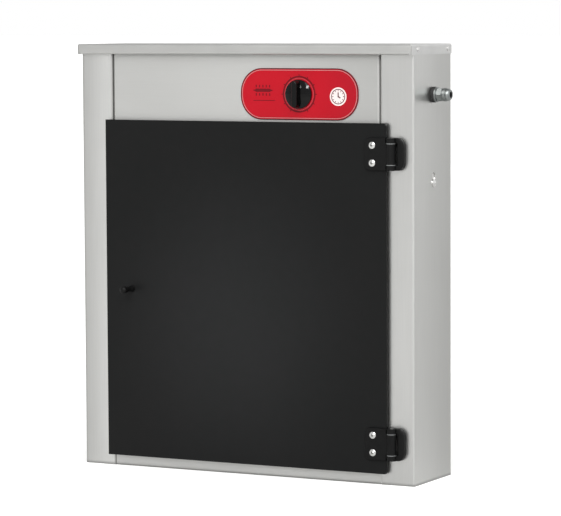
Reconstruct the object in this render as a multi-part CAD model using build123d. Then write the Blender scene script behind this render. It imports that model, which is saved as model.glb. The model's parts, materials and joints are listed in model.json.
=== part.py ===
from build123d import *
import os
from math import asin, cos, sin, sqrt

# Knife sterilizer cabinet: a folded stainless case with a dark hinged door, a timer, a lamp and a knife rack.
# Millimetres. X to the right, Y to the back, Z up. The origin is the middle of the case's underside.

# Case, over its outer faces
width = 520
depth = 122
height = 600
sheet = 1.2              # stainless sheet of the case
fold = 1.5               # inside radius of every fold
post_width = 50          # front face of each side panel
lip_depth = 14           # the post's edge, folded back into the opening
rear_flange = 16         # the side panel's edge, folded in along the back
flange = 15              # edges folded up where sheets are joined inside
fold_gap = 0.5           # a flat edge stops this far short of another sheet's fold
corner_gap = 1.3         # a joining flange stops this far short of its own sheet's next fold
rail_height = 30         # front edge of the bottom pan, folded up between the posts
rail_joint = 0.8         # open joint each side of that edge
service_height = 113     # from the chamber's ceiling up to the top of the case

# Fascia, in front of the electrical space
groove = 1.8             # open joint each side of it
fascia_side_return = 10
fascia_top_return = 12
fascia_notch = 8         # its top and bottom returns stop this far short of its sides
ceiling_joint = 0.8      # the ceiling's front edge stops this far short of those returns' ends

# Top cover
rim_height = 14
cover_overhang = 11      # how far the rim stands out in front of the posts
rim_return = 9           # the front rim's lower edge, folded back in
rim_lap = 20             # how far the front and rear strips run onto the roof
corner_seam = 1.7        # open seam where the front and side rims meet
front_rim_inset = 0.3    # the front rim's ends, inside the side rims' folds
rear_rim_gap = 1         # between the rear rim's ends and the side panels' rear flanges
cover_clearance = 0.3    # between the walls' tops and the cover's folds
rivet_d = 3.2
rivet_head_d = 6.4
rivet_head_h = 1.4
rivet_bulb = 1.8         # thickness of the end that is pulled up inside
rivet_from_front = 11
rivet_from_back = 14

# Door
door_thickness = 5
door_gap = 2.5           # between the posts and the door's back
door_left = 42           # from the case's left side to the door's edge
door_right = 38          # from the case's right side to the door's edge
door_bottom = 15.5
door_above_ceiling = 6.5
door_corner_r = 4
door_edge_chamfer = 0.4
bumper_d = 7
bumper_gap = 0.2
bumper_edge = 0.8
bumper_from_end = 14     # from the door's top and bottom edges

# Hinges
hinge_inset = 41.5       # from the door's top and bottom edges to the middle of each hinge
hinge_height = 44
knuckle_r = 6.5
knuckle_offset = 8       # pin axis to the door's edge
pin_stand_off = 9.5      # pin axis to the posts' front face
end_knuckle = 7
washer = 1.0
washer_inset = 0.2       # radial, the washers inside the knuckles' outline
pin_d = 5
running_gap = 0.05       # radial, round what turns
fixed_gap = 0.02         # radial, round what doesn't turn
leaf_gap = 0.6           # between the knuckles and the other leaf's edge
leaf_thickness = 4.5
leaf_corner_r = 7
leaf_edge_r = 1.2
door_leaf_reach = 39     # pin axis to the door leaf's far edge
frame_leaf_reach = 18    # pin axis to the frame leaf's far edge
frame_leaf_height = 9    # how far the frame leaf stands off the post
frame_leaf_corner_width = 8
frame_leaf_corner_height = 13
frame_leaf_edge_r = 2.2
frame_leaf_step = 3.2    # how far its middle is cut back beside the door's knuckle
frame_leaf_floor = 5     # what is left under that cut
hinge_screw_x = 27       # pin axis to the door screws
frame_stud_x = 14        # pin axis to the studs through the post
hinge_screw_pitch = 24
screw_d = 5
screw_head_d = 10
screw_head_h = 3
screw_tail = 6           # what stands out past the sheet or panel, for the nut
stud_depth = 6           # how far the studs are moulded into the frame leaf
nut_flats = 8
nut_height = 4
cap_base = 3.6           # hexagon of a domed nut
hole_gap = 0.25          # radial, screws in clearance holes

# Door pull
pull_inset = 41          # from the door's left edge
pull_length = 28
pull_head_d = 13
pull_head_edge = 4.5     # straight rim of the head
pull_head_dome = 2.5
pull_neck_d = 8
pull_neck_at = 11        # from the door to the narrowest place
pull_base_d = 11
pull_base_edge = 1.5
pull_screw_d = 4
pull_screw_in = 11       # how far the screw goes into the pull

# Magnetic catch and its strike plate
catch_height = 45
catch_width = 14
catch_depth = 15
catch_wall = 3           # between the catch's side and its magnet
magnet_length = 26
magnet_thickness = 5
magnet_depth = 10.6
magnet_set_back = 0.8    # magnet behind the ends of its poles
pole_thickness = 1.5
pole_proud = 0.6         # poles in front of the catch's body
magnet_gap = 0.3         # poles to the strike plate
strike_thickness = 1.5
strike_height = 30
strike_past_screw = 9

# Switch that the door works
reed_from_top = 60
reed_width = 13
reed_depth = 12
reed_height = 30
reed_magnet_width = 10
reed_magnet_height = 28
reed_magnet_thickness = 3
reed_gap = 1.2

# Control panel
label_width = 181
label_height = 71
label_end_flat = 5       # straight stretch in the middle of each rounded end
label_thickness = 0.8
label_from_post = 32.5   # from the right post's inner edge to the label's end
label_above_door = 2.7

# Timer
knob_d = 40
knob_off_label = 1.0
knob_skirt = 2.2
knob_dome = 4.5
knob_wall = 2
knob_hollow = 2.6        # depth of the ring hollow behind the skirt
knob_hub_d = 13
grip_width = 10
grip_height = 14
grip_inset = 1.25        # the grip's ends, inside the skirt's edge
grip_draft = 3           # degrees
grip_edge_r = 2
spindle_d = 6
spindle_flat = 1.5
spindle_out = 12         # how far the spindle goes into the knob
spindle_in = 22          # how far it goes into the timer
spindle_tip_gap = 0.3
bushing_d = 9
timer_size = 45
timer_depth = 34
timer_ear = 3.5          # the mounting plate past each side of the timer's case
timer_plate = 1.5
timer_screw_x = 14
timer_screw_d = 4
timer_screw_length = 8
timer_screw_head_d = 7
timer_screw_head_h = 2
tab_width = 6.3
tab_thickness = 0.8
tab_length = 8
tab_x = 13
tab_z = 12

# Rack and its brackets
rack_end_gap = 8         # from the opening's edges to the rack's ends
rack_depth = 74
rack_skirt = 18
rack_sheet = 1.5
handle_room = 137        # from the rack's top plate up to the ceiling
rack_y = -12             # middle of the rack, front to back
slot_pitch = 38
slot_end_room = 24       # from the rack's end to where slots may start
slot_width = 5
slot_length = 58
peg_inset = 9            # from the rack's end
peg_d = 6
peg_pitch = 30
peg_height = 9
peg_gap = 0.5
bracket_sheet = 1.5
bracket_reach = 25       # how far the bracket's arm goes under the rack's end
arm_depth = 50
arm_skirt = 9
arm_skirt_gap = 12       # the skirts stop this far short of the side panel
bracket_above_stud = 20
stud_above_rack = 60     # stud that carries each bracket in the side panel
stud_y = 2
stud_d = 6
stud_head_d = 11
stud_head_h = 3.2
stud_tail = 1.6          # its end, riveted over inside the bracket
keyhole_d = 12
keyhole_drop = 9         # from the keyhole's entry down to the stud
stud_gap = 0.2           # radial, in the keyhole

# Lamp, its holders and reflector
lamp_to_side = 40.1      # from the lamp's end to the inner face of the side panel
lamp_from_back = 22.6    # lamp's axis to the back panel
lamp_z = 200
lamp_d = 25.5
lamp_wall = 0.9
lamp_end_wall = 6
cap_length = 16
cap_d = 26.2
cap_end = 2
cap_edge = 1.0
lamp_pin_d = 2.35
lamp_pin_pitch = 12.7
lamp_pin_length = 7
lamp_end_gap = 0.8       # lamp's end to the holder's face
holder_r = 15
holder_thickness = 13
holder_edge = 1
holder_foot = 8          # how far the foot goes out beside the holder
holder_foot_thickness = 5
holder_screw_d = 3.5
holder_screw_head_d = 6.5
holder_screw_head_h = 2
rotor_d = 19
rotor_length = 9
rotor_end_gap = 0.2
reflector_sheet = 0.8
reflector_half = 42      # lamp's axis to the reflector's edges
reflector_flat_half = 28
reflector_wing = 16      # how far its edges stand out from the back panel
reflector_end_gap = 8    # its ends, inside the lamp's ends
conduit_d = 8
conduit_wall = 1
conduit_top = 8          # how far the conduits stand up above the ceiling
grommet_neck = 1.5       # rubber round the conduit, in the ceiling's hole
grommet_flange = 3.5
grommet_lip = 2          # thickness of the rubber on each side of the ceiling

# Electrical space
ballast_from_side = 148.8
ballast_y = 18
ballast_length = 150
ballast_depth = 41
ballast_height = 28
ballast_lift = 0.5       # case above the ceiling, on its feet
ballast_foot = 14
ballast_foot_thickness = 1.5
ballast_screw_d = 4
ballast_screw_at = 8     # from the case's end
starter_from_ballast = 45
starter_y = 22
starter_d = 21.5
starter_height = 36
starter_edge = 1.5
socket_size = 32
socket_height = 14
socket_floor = 6
socket_gap = 0.45
terminal_from_side = 62.8
terminal_y = 30
pole_count = 5
pole_pitch = 9
pole_width = 6.8
pole_depth = 14
pole_height = 7
strip_depth = 18
strip_height = 8
wire_hole_d = 3.2
clamp_screw_d = 3.8
clamp_screw_h = 1.2
clamp_screw_y = 4
earth_from_terminal = 46
earth_y = 40
earth_stud_d = 5
earth_stud_length = 16
earth_nut_gaps = (0.2, 6)

# Wall fixing
keyhole_wall_d = 11
keyhole_wall_slot = 5.5
keyhole_wall_rise = 10
wall_inset = 80          # from the case's sides
wall_from_top = 44
wall_low_z = 60

# Cable gland on the right side
gland_from_top = 69
gland_y = 0
gland_thread_d = 16
gland_thread_in = 9      # thread inside the side panel
gland_flats = 20
gland_collar = 5
gland_nut = 9
gland_dome = 13
gland_neck_wall = 1.85
gland_round_inset = 0.4  # the round part of the cap nut, inside its flats
gland_mouth = 0.66       # radius at the dome's mouth, as a share of the round part's
gland_shoulder = 0.9     # and half way up the dome
gland_seat = 2           # round part before the dome starts, and the depth of the neck in it
locknut_height = 4.5
locknut_flats = 22
cable_d = 8.5
seal_wall = 1.4
seal_short = 3           # the seal stops this far short of the dome's length

# What follows from those sizes
right = width / 2
inner = right - sheet                       # inner face of a side panel
front = -depth / 2
back = depth / 2
bend = sheet + fold                         # outer radius of a fold
opening = right - post_width                # half the clear width between the posts
back_inner = back - 2 * sheet               # inner face of the back panel
under_cover = height - sheet
sides_top = under_cover - fold - cover_clearance
ceiling_z = height - service_height
floor_z = ceiling_z + sheet                 # upper face of the ceiling, floor of the electrical space
door_top = ceiling_z + door_above_ceiling
door_back_y = front - door_gap
door_front_y = door_back_y - door_thickness
door_x0 = -right + door_left
door_x1 = right - door_right
door_mid_z = (door_bottom + door_top) / 2
pull_x = door_x0 + pull_inset
hinge_x = door_x1 + knuckle_offset
hinge_y = front - pin_stand_off
hinge_zs = (door_bottom + hinge_inset, door_top - hinge_inset)
hinge_half = hinge_height / 2
knuckle_half = hinge_half - end_knuckle - washer      # half the door's knuckle
screw_rows = (-hinge_screw_pitch / 2, hinge_screw_pitch / 2)
label_x = opening - label_from_post - label_width / 2
label_z = door_top + label_above_door + label_height / 2
label_front_y = front - label_thickness
timer_y = front + sheet                     # back of the fascia, where the timer is screwed on
gland_z = height - gland_from_top
catch_x = -opening                          # left post's lip, where the catch and the switch stand
pole_y = door_back_y + strike_thickness + magnet_gap
reed_z = door_top - reed_from_top
rack_z = ceiling_z - handle_room            # underside of the rack's top plate
rack_half = opening - rack_end_gap
slot_count = int(2 * (rack_half - slot_end_room) / slot_pitch) + 1
peg_x = rack_half - peg_inset
peg_rows = (rack_y - peg_pitch / 2, rack_y + peg_pitch / 2)
stud_z = rack_z + stud_above_rack
lamp_half = inner - lamp_to_side
lamp_y = back_inner - lamp_from_back
pin_rows = (lamp_z - lamp_pin_pitch / 2, lamp_z + lamp_pin_pitch / 2)
holder_x = lamp_half + lamp_end_gap         # face of the right lampholder
conduit_x = holder_x + holder_thickness / 2
conduit_y = (lamp_y + back_inner) / 2
ballast_x = -inner + ballast_from_side
starter_x = ballast_x + ballast_length / 2 + starter_from_ballast
terminal_x = inner - terminal_from_side
earth_x = terminal_x - earth_from_terminal
wall_x = right - wall_inset
wall_top_z = height - wall_from_top

through = 30             # length of a cutting rod that goes right through a wall


def folded(points, length, plane, thickness=sheet):
    """Sheet folded along points, which trace its outer face with the inside on the right."""
    outer = FilletPolyline(*points, radius=fold + thickness)
    return extrude(plane * make_face(offset(outer, thickness, side=Side.RIGHT)), length)


def facing(x, y, z, direction):
    """Plane at a point, facing along one of the case's axes, with its X level."""
    level = (0, 1, 0) if abs(Vector(*direction).X) > 0.5 else (1, 0, 0)
    return Plane(origin=(x, y, z), x_dir=level, z_dir=direction)


def rod(x, y, z, direction, radius, length):
    """Cylinder that starts at a point and runs along a direction."""
    return extrude(facing(x, y, z, direction) * Circle(radius), length)


def hole(x, y, z, direction, diameter, gap):
    """Cut for a round hole through the wall at a point, with a radial clearance."""
    return extrude(facing(x, y, z, direction) * Circle(diameter / 2 + gap), through / 2, both=True)


def both_sides(shape):
    """A shape on the right side and its mirror image on the left."""
    return [shape, mirror(shape, Plane.YZ)]


def block(x0, x1, y0, y1, z0, z1):
    """Box between two corners."""
    centre = ((x0 + x1) / 2, (y0 + y1) / 2, (z0 + z1) / 2)
    return Pos(*centre) * Box(abs(x1 - x0), abs(y1 - y0), abs(z1 - z0))


def dome_arc(radius, z, rise):
    """Arc of a sphere, from a rim up to the axis."""
    ball = (radius ** 2 + rise ** 2) / (2 * rise)
    half_angle = asin(radius / ball) / 2
    middle = (ball * sin(half_angle), z + rise - ball * (1 - cos(half_angle)))
    return ThreePointArc((radius, z), middle, (0, z + rise))


def turned(lines):
    """Solid turned about Z from a half outline drawn to the right of it."""
    return revolve(Plane.XZ * make_face(lines), Axis.Z)


def domed_disc(radius, edge, rise):
    """Disc with a straight edge and a domed face."""
    return turned([
        Line((0, 0), (radius, 0)),
        Line((radius, 0), (radius, edge)),
        dome_arc(radius, edge, rise),
        Line((0, edge + rise), (0, 0)),
    ])


def pan_screw(x, y, z, direction, shank, length, head_d, head_h):
    """Screw with a domed head: the head stands on the point, the shank runs the other way."""
    head = facing(x, y, z, direction) * domed_disc(head_d / 2, head_h * 0.35, head_h * 0.65)
    return head + rod(x, y, z, Vector(*direction) * -1, shank / 2, length)


def cheese_screw(x, y, z, direction, shank, length, head_d, head_h):
    """Screw with a flat cylindrical head, placed as a pan_screw is."""
    return (rod(x, y, z, direction, head_d / 2, head_h)
            + rod(x, y, z, Vector(*direction) * -1, shank / 2, length))


def hexagon(flats, length):
    """Plain hexagonal bar, by its size across flats."""
    return extrude(RegularPolygon(flats / sqrt(3), 6), length)


def hex_nut(x, y, z, direction, flats, length, bore):
    """Plain hexagon nut."""
    return facing(x, y, z, direction) * (hexagon(flats, length) - extrude(Circle(bore), length))


def cap_nut(x, y, z, direction, flats, bore, depth_in):
    """Domed nut, closed at its far end."""
    dome_r = flats * 0.46
    dome = Sphere(dome_r) & Pos(0, 0, dome_r / 2) * Box(2 * dome_r, 2 * dome_r, dome_r)
    body = hexagon(flats, cap_base) + Pos(0, 0, cap_base) * dome
    return facing(x, y, z, direction) * (body - extrude(Circle(bore), depth_in))


# Case

def side_panel_blank():
    """Right side panel: side, front post with its lip, and rear flange, folded from one sheet."""
    outline = [(right - rear_flange, back), (right, back), (right, front), (opening, front),
               (opening, front + lip_depth)]
    return folded(outline, sides_top, Plane.XY)


def keyhole_cut():
    """Keyhole that the bracket's stud drops into."""
    entry_z = stud_z + keyhole_drop
    half = stud_d / 2 + stud_gap
    slot = block(inner - through / 2, inner + through / 2, stud_y - half, stud_y + half, stud_z, entry_z)
    return (slot + hole(inner, stud_y, entry_z, (1, 0, 0), keyhole_d, 0)
            + hole(inner, stud_y, stud_z, (1, 0, 0), stud_d, stud_gap))


def cover_rivet_places():
    """Front and rear rivets that hold the cover's side rims."""
    return [(y, height - rim_height / 2) for y in (front + rivet_from_front, back - rivet_from_back)]


def rivet_cuts():
    """Holes for the cover's rivets in the right side."""
    return [hole(inner, y, z, (1, 0, 0), rivet_d, fixed_gap) for y, z in cover_rivet_places()]


def left_side_panel():
    return mirror(side_panel_blank() - keyhole_cut() - rivet_cuts(), Plane.YZ)


def right_side_panel():
    panel = side_panel_blank() - keyhole_cut() - rivet_cuts()
    panel -= hole(inner, gland_y, gland_z, (1, 0, 0), gland_thread_d, hole_gap)
    for z in hinge_zs:
        for dz in screw_rows:
            panel -= hole(hinge_x + frame_stud_x, front, z + dz, (0, 1, 0), screw_d, hole_gap)
    return panel


def back_panel():
    """Flat back between the rear flanges, with two keyholes above and two plain holes below."""
    half = inner - fold - fold_gap
    panel = block(-half, half, back_inner, back_inner + sheet, 0, sides_top)
    slot_half = keyhole_wall_slot / 2
    slot_top = wall_top_z + keyhole_wall_rise
    for x in (-wall_x, wall_x):
        panel -= hole(x, back_inner, wall_top_z, (0, 1, 0), keyhole_wall_d, 0)
        panel -= hole(x, back_inner, slot_top, (0, 1, 0), keyhole_wall_slot, 0)
        panel -= block(x - slot_half, x + slot_half, back_inner - sheet, back, wall_top_z, slot_top)
        panel -= hole(x, back_inner, wall_low_z, (0, 1, 0), keyhole_wall_slot, 0)
    return panel


def cross_strip(z):
    """Middle of the floor or the ceiling, with a flange folded up against each side panel."""
    y0 = front + lip_depth + corner_gap
    y1 = back_inner - bend - corner_gap
    outline = [(inner, z + flange), (inner, z), (-inner, z), (-inner, z + flange)]
    return folded(outline, y1 - y0, Plane.XZ.offset(-y1))


def bottom_pan():
    """Floor of the case. Its front edge is folded up between the posts as the bottom rail."""
    half = opening - rail_joint
    outline = [(back_inner, flange), (back_inner, 0), (front, 0), (front, rail_height)]
    return folded(outline, 2 * half, Plane.YZ.offset(-half)) + cross_strip(0)


def chamber_ceiling():
    """Sheet between the chamber and the electrical space above it, with its edges folded up."""
    half = opening - groove - sheet - ceiling_joint
    outline = [(back_inner, ceiling_z + flange), (back_inner, ceiling_z), (front + bend + fold_gap, ceiling_z)]
    body = folded(outline, 2 * half, Plane.YZ.offset(-half)) + cross_strip(ceiling_z)
    for x in (-conduit_x, conduit_x):
        body -= hole(x, conduit_y, ceiling_z, (0, 0, 1), conduit_d, grommet_neck)
    return body


def fascia_panel():
    """Front of the electrical space, between the posts, with all four edges folded back."""
    half = opening - groove
    face_half = half - fascia_notch
    low = ceiling_z - sheet
    outline = [(front + lip_depth, low), (front, low), (front, under_cover), (front + fascia_top_return, under_cover)]
    face = folded(outline, 2 * face_half, Plane.YZ.offset(-face_half))
    z0 = low + bend + corner_gap
    z1 = under_cover - bend - corner_gap
    edge = folded([(half, front + fascia_side_return), (half, front), (face_half, front)], z1 - z0,
                  Plane.XY.offset(z0))
    panel = face + both_sides(edge)
    return panel - panel_holes()


def top_cover():
    """Lid folded down all round, with a boxed rim in front of the posts."""
    low = height - rim_height
    outer = right + sheet
    front_y = front - cover_overhang
    y0 = front_y + corner_seam
    y1 = back - sheet
    roof = folded([(-outer, low), (-outer, height), (outer, height), (outer, low)], y1 - y0, Plane.XZ.offset(-y1))
    front_half = outer - fold - sheet - front_rim_inset
    front_rim = folded([(front_y + rim_return, low), (front_y, low), (front_y, height), (front + rim_lap, height)],
                       2 * front_half, Plane.YZ.offset(-front_half))
    rear_half = right - rear_flange - rear_rim_gap
    rear_rim = folded([(back - rim_lap, height), (back, height), (back, low)], 2 * rear_half,
                      Plane.YZ.offset(-rear_half))
    cover = roof + front_rim + rear_rim
    for cut in rivet_cuts():
        cover -= both_sides(cut)
    return cover


def cover_rivets():
    """Blind rivets through the cover's side rims and the side panels."""
    rivets = []
    for y, z in cover_rivet_places():
        rivet = pan_screw(right + sheet, y, z, (1, 0, 0), rivet_d, 2 * sheet + rivet_bulb, rivet_head_d, rivet_head_h)
        rivet += rod(inner, y, z, (-1, 0, 0), rivet_d * 0.75, rivet_bulb)
        rivets += both_sides(rivet)
    return rivets


# Control panel and timer

def panel_holes():
    """Cuts through the fascia and the label for the timer's bushing and screws."""
    cuts = [hole(label_x, front, label_z, (0, 1, 0), bushing_d, hole_gap)]
    for x in (-timer_screw_x, timer_screw_x):
        cuts.append(hole(label_x + x, front, label_z, (0, 1, 0), timer_screw_d, hole_gap))
    return cuts


def control_label():
    """Thin plate with nearly round ends, glued to the fascia round the timer's spindle."""
    face = RectangleRounded(label_width, label_height, (label_height - label_end_flat) / 2)
    return facing(label_x, front, label_z, (0, -1, 0)) * extrude(face, label_thickness) - panel_holes()


def timer_body():
    """Clockwork timer behind the fascia: mounting plate, case, bushing and four terminals."""
    plane = facing(label_x, timer_y, label_z, (0, 1, 0))
    plate = extrude(RectangleRounded(timer_size + 2 * timer_ear, timer_size, 4), timer_plate)
    case = extrude(RectangleRounded(timer_size, timer_size, 5), timer_plate + timer_depth)
    bushing = extrude(Circle(bushing_d / 2), -(sheet + label_thickness))
    tab = Pos(0, 0, timer_plate + timer_depth + tab_length / 2) * Box(tab_thickness, tab_width, tab_length)
    body = plate + case + bushing + [Pos(x, z) * tab for x in (-tab_x, tab_x) for z in (-tab_z, tab_z)]
    body -= Pos(0, 0, -through / 2) * extrude(Circle(spindle_d / 2 + running_gap), through / 2 + spindle_in)
    for x in (-timer_screw_x, timer_screw_x):
        body -= Pos(x, 0) * extrude(Circle(timer_screw_d / 2 + fixed_gap), timer_screw_length)
    return plane * body


def timer_screws():
    """Two screws under the knob that hold the timer to the fascia."""
    return [cheese_screw(label_x + x, label_front_y, label_z, (0, -1, 0), timer_screw_d, timer_screw_length,
                         timer_screw_head_d, timer_screw_head_h)
            for x in (-timer_screw_x, timer_screw_x)]


def spindle_profile(gap):
    """Round section with a flat on it."""
    r = spindle_d / 2 + gap
    return Circle(r) - Pos(0, r + spindle_d / 2 - spindle_flat + gap) * Rectangle(4 * r, 2 * r)


def timer_spindle():
    """Spindle that comes out through the bushing, flatted where the knob grips it."""
    shaft = rod(label_x, timer_y + spindle_in, label_z, (0, -1, 0), spindle_d / 2,
                spindle_in + sheet + label_thickness)
    tip = extrude(spindle_profile(0), knob_off_label + spindle_out)
    return shaft + facing(label_x, label_front_y, label_z, (0, -1, 0)) * tip


def timer_knob():
    """Round knob: a low domed skirt, hollow behind, with a grip bar across it."""
    r = knob_d / 2
    grip = extrude(SlotOverall(knob_d - 2 * grip_inset, grip_width, rotation=90), knob_skirt + grip_height,
                   taper=grip_draft)
    grip = fillet(grip.edges().group_by(Axis.Z)[-1], grip_edge_r)
    knob = domed_disc(r, knob_skirt, knob_dome) + grip
    knob -= extrude(Circle(r - knob_wall) - Circle(knob_hub_d / 2), knob_hollow)
    knob -= extrude(spindle_profile(fixed_gap), spindle_out + spindle_tip_gap)
    return facing(label_x, label_front_y - knob_off_label, label_z, (0, -1, 0)) * knob


# Hinges

def at_hinges(make):
    """The pieces of one kind at the lower and the upper hinge."""
    return [Pos(0, 0, z) * piece for z in hinge_zs for piece in make()]


def knuckle(z0, length, radius=knuckle_r):
    """Round barrel on the pin's axis, about the hinge's own middle."""
    return rod(hinge_x, hinge_y, z0, (0, 0, 1), radius, length)


def pin_bore(gap):
    """Bore through all of a hinge's knuckles."""
    return knuckle(-hinge_height, 2 * hinge_height, pin_d / 2 + gap)


def frame_leaf_outline(near, far):
    """Straight beside the pin, and drawn in at both corners of the outer side."""
    corner_x = max(far - frame_leaf_corner_width, near + frame_leaf_edge_r)
    corner_z = hinge_half - frame_leaf_corner_height
    corners = [EllipticalCenterArc((corner_x, side * corner_z), far - corner_x, frame_leaf_corner_height,
                                   start_angle=0, arc_size=side * 90) for side in (-1, 1)]
    inner = Polyline((corner_x, hinge_half), (near, hinge_half), (near, -hinge_half), (corner_x, -hinge_half))
    return make_face(Curve() + corners + [Line((far, -corner_z), (far, corner_z)), inner])


def frame_leaves():
    """Leaf on the post: a raised body with a rounded outer side, and an arm to each end knuckle."""
    near = hinge_x + knuckle_r + leaf_gap
    far = hinge_x + frame_leaf_reach
    leaf = extrude(facing(0, front, 0, (0, -1, 0)) * frame_leaf_outline(near, far), frame_leaf_height)
    rim = leaf.faces().sort_by(Axis.Y)[0].edges().filter_by(lambda edge: edge.center().X > near + leaf_gap)
    leaf = fillet(rim, frame_leaf_edge_r)
    leaf -= block(near - through, near + frame_leaf_step, front - frame_leaf_height, front - frame_leaf_floor,
                  -hinge_half + end_knuckle, hinge_half - end_knuckle)
    for z0 in (-hinge_half, hinge_half - end_knuckle):
        arm = block(hinge_x, near + frame_leaf_step, hinge_y + 1, front, z0, z0 + end_knuckle)
        leaf += knuckle(z0, end_knuckle) + arm
    leaf -= pin_bore(fixed_gap)
    for dz in screw_rows:
        leaf -= rod(hinge_x + frame_stud_x, front, dz, (0, -1, 0), screw_d / 2 + fixed_gap, stud_depth)
    return [leaf]


def door_leaves():
    """Leaf on the door's face, with the middle knuckle."""
    far = hinge_x - door_leaf_reach
    near = hinge_x - knuckle_r - leaf_gap
    outline = make_face(Polyline((far, -hinge_half), (near, -hinge_half), (near, hinge_half), (far, hinge_half),
                                 close=True))
    outline = fillet(outline.vertices().group_by(Axis.X)[0], leaf_corner_r)
    plate = extrude(facing(0, door_front_y, 0, (0, -1, 0)) * outline, leaf_thickness)
    plate = fillet(plate.faces().sort_by(Axis.Y)[0].edges(), leaf_edge_r)
    web = block(near - leaf_thickness, hinge_x, door_front_y - leaf_thickness, door_front_y,
                -knuckle_half, knuckle_half)
    leaf = plate + web + knuckle(-knuckle_half, 2 * knuckle_half) - pin_bore(running_gap)
    for dz in screw_rows:
        leaf -= hole(hinge_x - hinge_screw_x, door_front_y, dz, (0, -1, 0), screw_d, fixed_gap)
    return [leaf]


def hinge_pins():
    """Steel pin held by the end knuckles."""
    return [knuckle(-hinge_half, hinge_height, pin_d / 2)]


def hinge_washers():
    """Thin washers between the knuckles."""
    return [knuckle(z, washer, knuckle_r - washer_inset) - pin_bore(fixed_gap)
            for z in (-knuckle_half - washer, knuckle_half)]


def door_screws():
    """Domed screws through the door leaf and the door."""
    length = leaf_thickness + door_thickness + screw_tail
    return [pan_screw(hinge_x - hinge_screw_x, door_front_y - leaf_thickness, dz, (0, -1, 0), screw_d, length,
                      screw_head_d, screw_head_h) for dz in screw_rows]


def cap_nuts():
    """Domed nuts behind the door."""
    return [cap_nut(hinge_x - hinge_screw_x, door_back_y, dz, (0, 1, 0), nut_flats, screw_d / 2 + fixed_gap,
                    screw_tail) for dz in screw_rows]


def frame_studs():
    """Studs moulded into the frame leaf, through the post."""
    return [rod(hinge_x + frame_stud_x, front - stud_depth, dz, (0, 1, 0), screw_d / 2,
                stud_depth + sheet + screw_tail) for dz in screw_rows]


def frame_nuts():
    """Nuts inside the post."""
    return [hex_nut(hinge_x + frame_stud_x, front + sheet, dz, (0, 1, 0), nut_flats, nut_height,
                    screw_d / 2 + fixed_gap) for dz in screw_rows]


# Door

def door_panel():
    """Smoked sheet with polished edges, held only by its hinges."""
    outline = Rectangle(door_x1 - door_x0, door_top - door_bottom)
    outline = fillet(outline.vertices().group_by(Axis.X)[-1], door_corner_r)
    panel = extrude(facing((door_x0 + door_x1) / 2, door_back_y, door_mid_z, (0, -1, 0)) * outline, door_thickness)
    by_depth = panel.faces().sort_by(Axis.Y)
    panel = chamfer(by_depth[0].edges() + by_depth[-1].edges(), door_edge_chamfer)
    for z in hinge_zs:
        for dz in screw_rows:
            panel -= hole(hinge_x - hinge_screw_x, door_back_y, z + dz, (0, -1, 0), screw_d, hole_gap)
    return panel - hole(pull_x, door_back_y, door_mid_z, (0, -1, 0), pull_screw_d, hole_gap)


def door_pull():
    """Small turned pull: flared base, thin neck and a domed head."""
    base_r = pull_base_d / 2
    head_r = pull_head_d / 2
    rim_z = pull_length - pull_head_dome
    head_z = rim_z - pull_head_edge
    pull = turned([
        Line((0, 0), (base_r, 0)),
        Line((base_r, 0), (base_r, pull_base_edge)),
        Spline((base_r, pull_base_edge), (pull_neck_d / 2, pull_neck_at), (head_r, head_z),
               tangents=[(-1, 1), (1, 1.6)]),
        Line((head_r, head_z), (head_r, rim_z)),
        dome_arc(head_r, rim_z, pull_head_dome),
        Line((0, pull_length), (0, 0)),
    ])
    pull -= extrude(Circle(pull_screw_d / 2 + fixed_gap), pull_screw_in)
    return facing(pull_x, door_front_y, door_mid_z, (0, -1, 0)) * pull


def pull_screw():
    """Screw from the door's back into the pull."""
    length = strike_thickness + door_thickness + pull_screw_in
    return pan_screw(pull_x, door_back_y + strike_thickness, door_mid_z, (0, 1, 0), pull_screw_d, length,
                     2 * pull_screw_d, pull_screw_d / 2)


def strike_plate():
    """Steel plate on the door's back that the catch pulls on, held by the pull's screw."""
    x0 = catch_x + catch_wall
    x1 = pull_x + strike_past_screw
    plate = extrude(RectangleRounded(x1 - x0, strike_height, 3), strike_thickness)
    plate = facing((x0 + x1) / 2, door_back_y, door_mid_z, (0, 1, 0)) * plate
    return plate - hole(pull_x, door_back_y, door_mid_z, (0, 1, 0), pull_screw_d, hole_gap)


def magnetic_catch():
    """Catch body on the left post's lip, open in front where its magnet shows."""
    y0 = pole_y + pole_proud
    z0 = door_mid_z - catch_height / 2
    body = block(catch_x, catch_x + catch_width, y0, y0 + catch_depth, z0, z0 + catch_height)
    body = fillet(body.edges().filter_by(Axis.Y), 2)
    x0 = catch_x + catch_wall
    x1 = x0 + magnet_thickness + 2 * pole_thickness
    half = magnet_length / 2
    return body - block(x0, x1, pole_y, pole_y + magnet_depth, door_mid_z - half, door_mid_z + half)


def catch_magnet():
    """Magnet between two pole plates, proud of the catch's body."""
    x0 = catch_x + catch_wall + pole_thickness
    x1 = x0 + magnet_thickness
    z0 = door_mid_z - magnet_length / 2
    z1 = door_mid_z + magnet_length / 2
    y1 = pole_y + magnet_depth
    return [block(x0, x1, pole_y + magnet_set_back, y1, z0, z1),
            block(x0 - pole_thickness, x0, pole_y, y1, z0, z1),
            block(x1, x1 + pole_thickness, pole_y, y1, z0, z1)]


def reed_switch():
    """Sealed switch on the left post's lip that puts the lamp out when the door opens."""
    y0 = door_back_y + reed_magnet_thickness + reed_gap
    body = block(catch_x, catch_x + reed_width, y0, y0 + reed_depth, reed_z - reed_height / 2,
                 reed_z + reed_height / 2)
    return fillet(body.edges().filter_by(Axis.X), 2)


def reed_magnet():
    """Magnet on the door's back that works the switch."""
    x = catch_x + reed_width / 2
    face = RectangleRounded(reed_magnet_width, reed_magnet_height, 1.5)
    return facing(x, door_back_y, reed_z, (0, 1, 0)) * extrude(face, reed_magnet_thickness)


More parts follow.
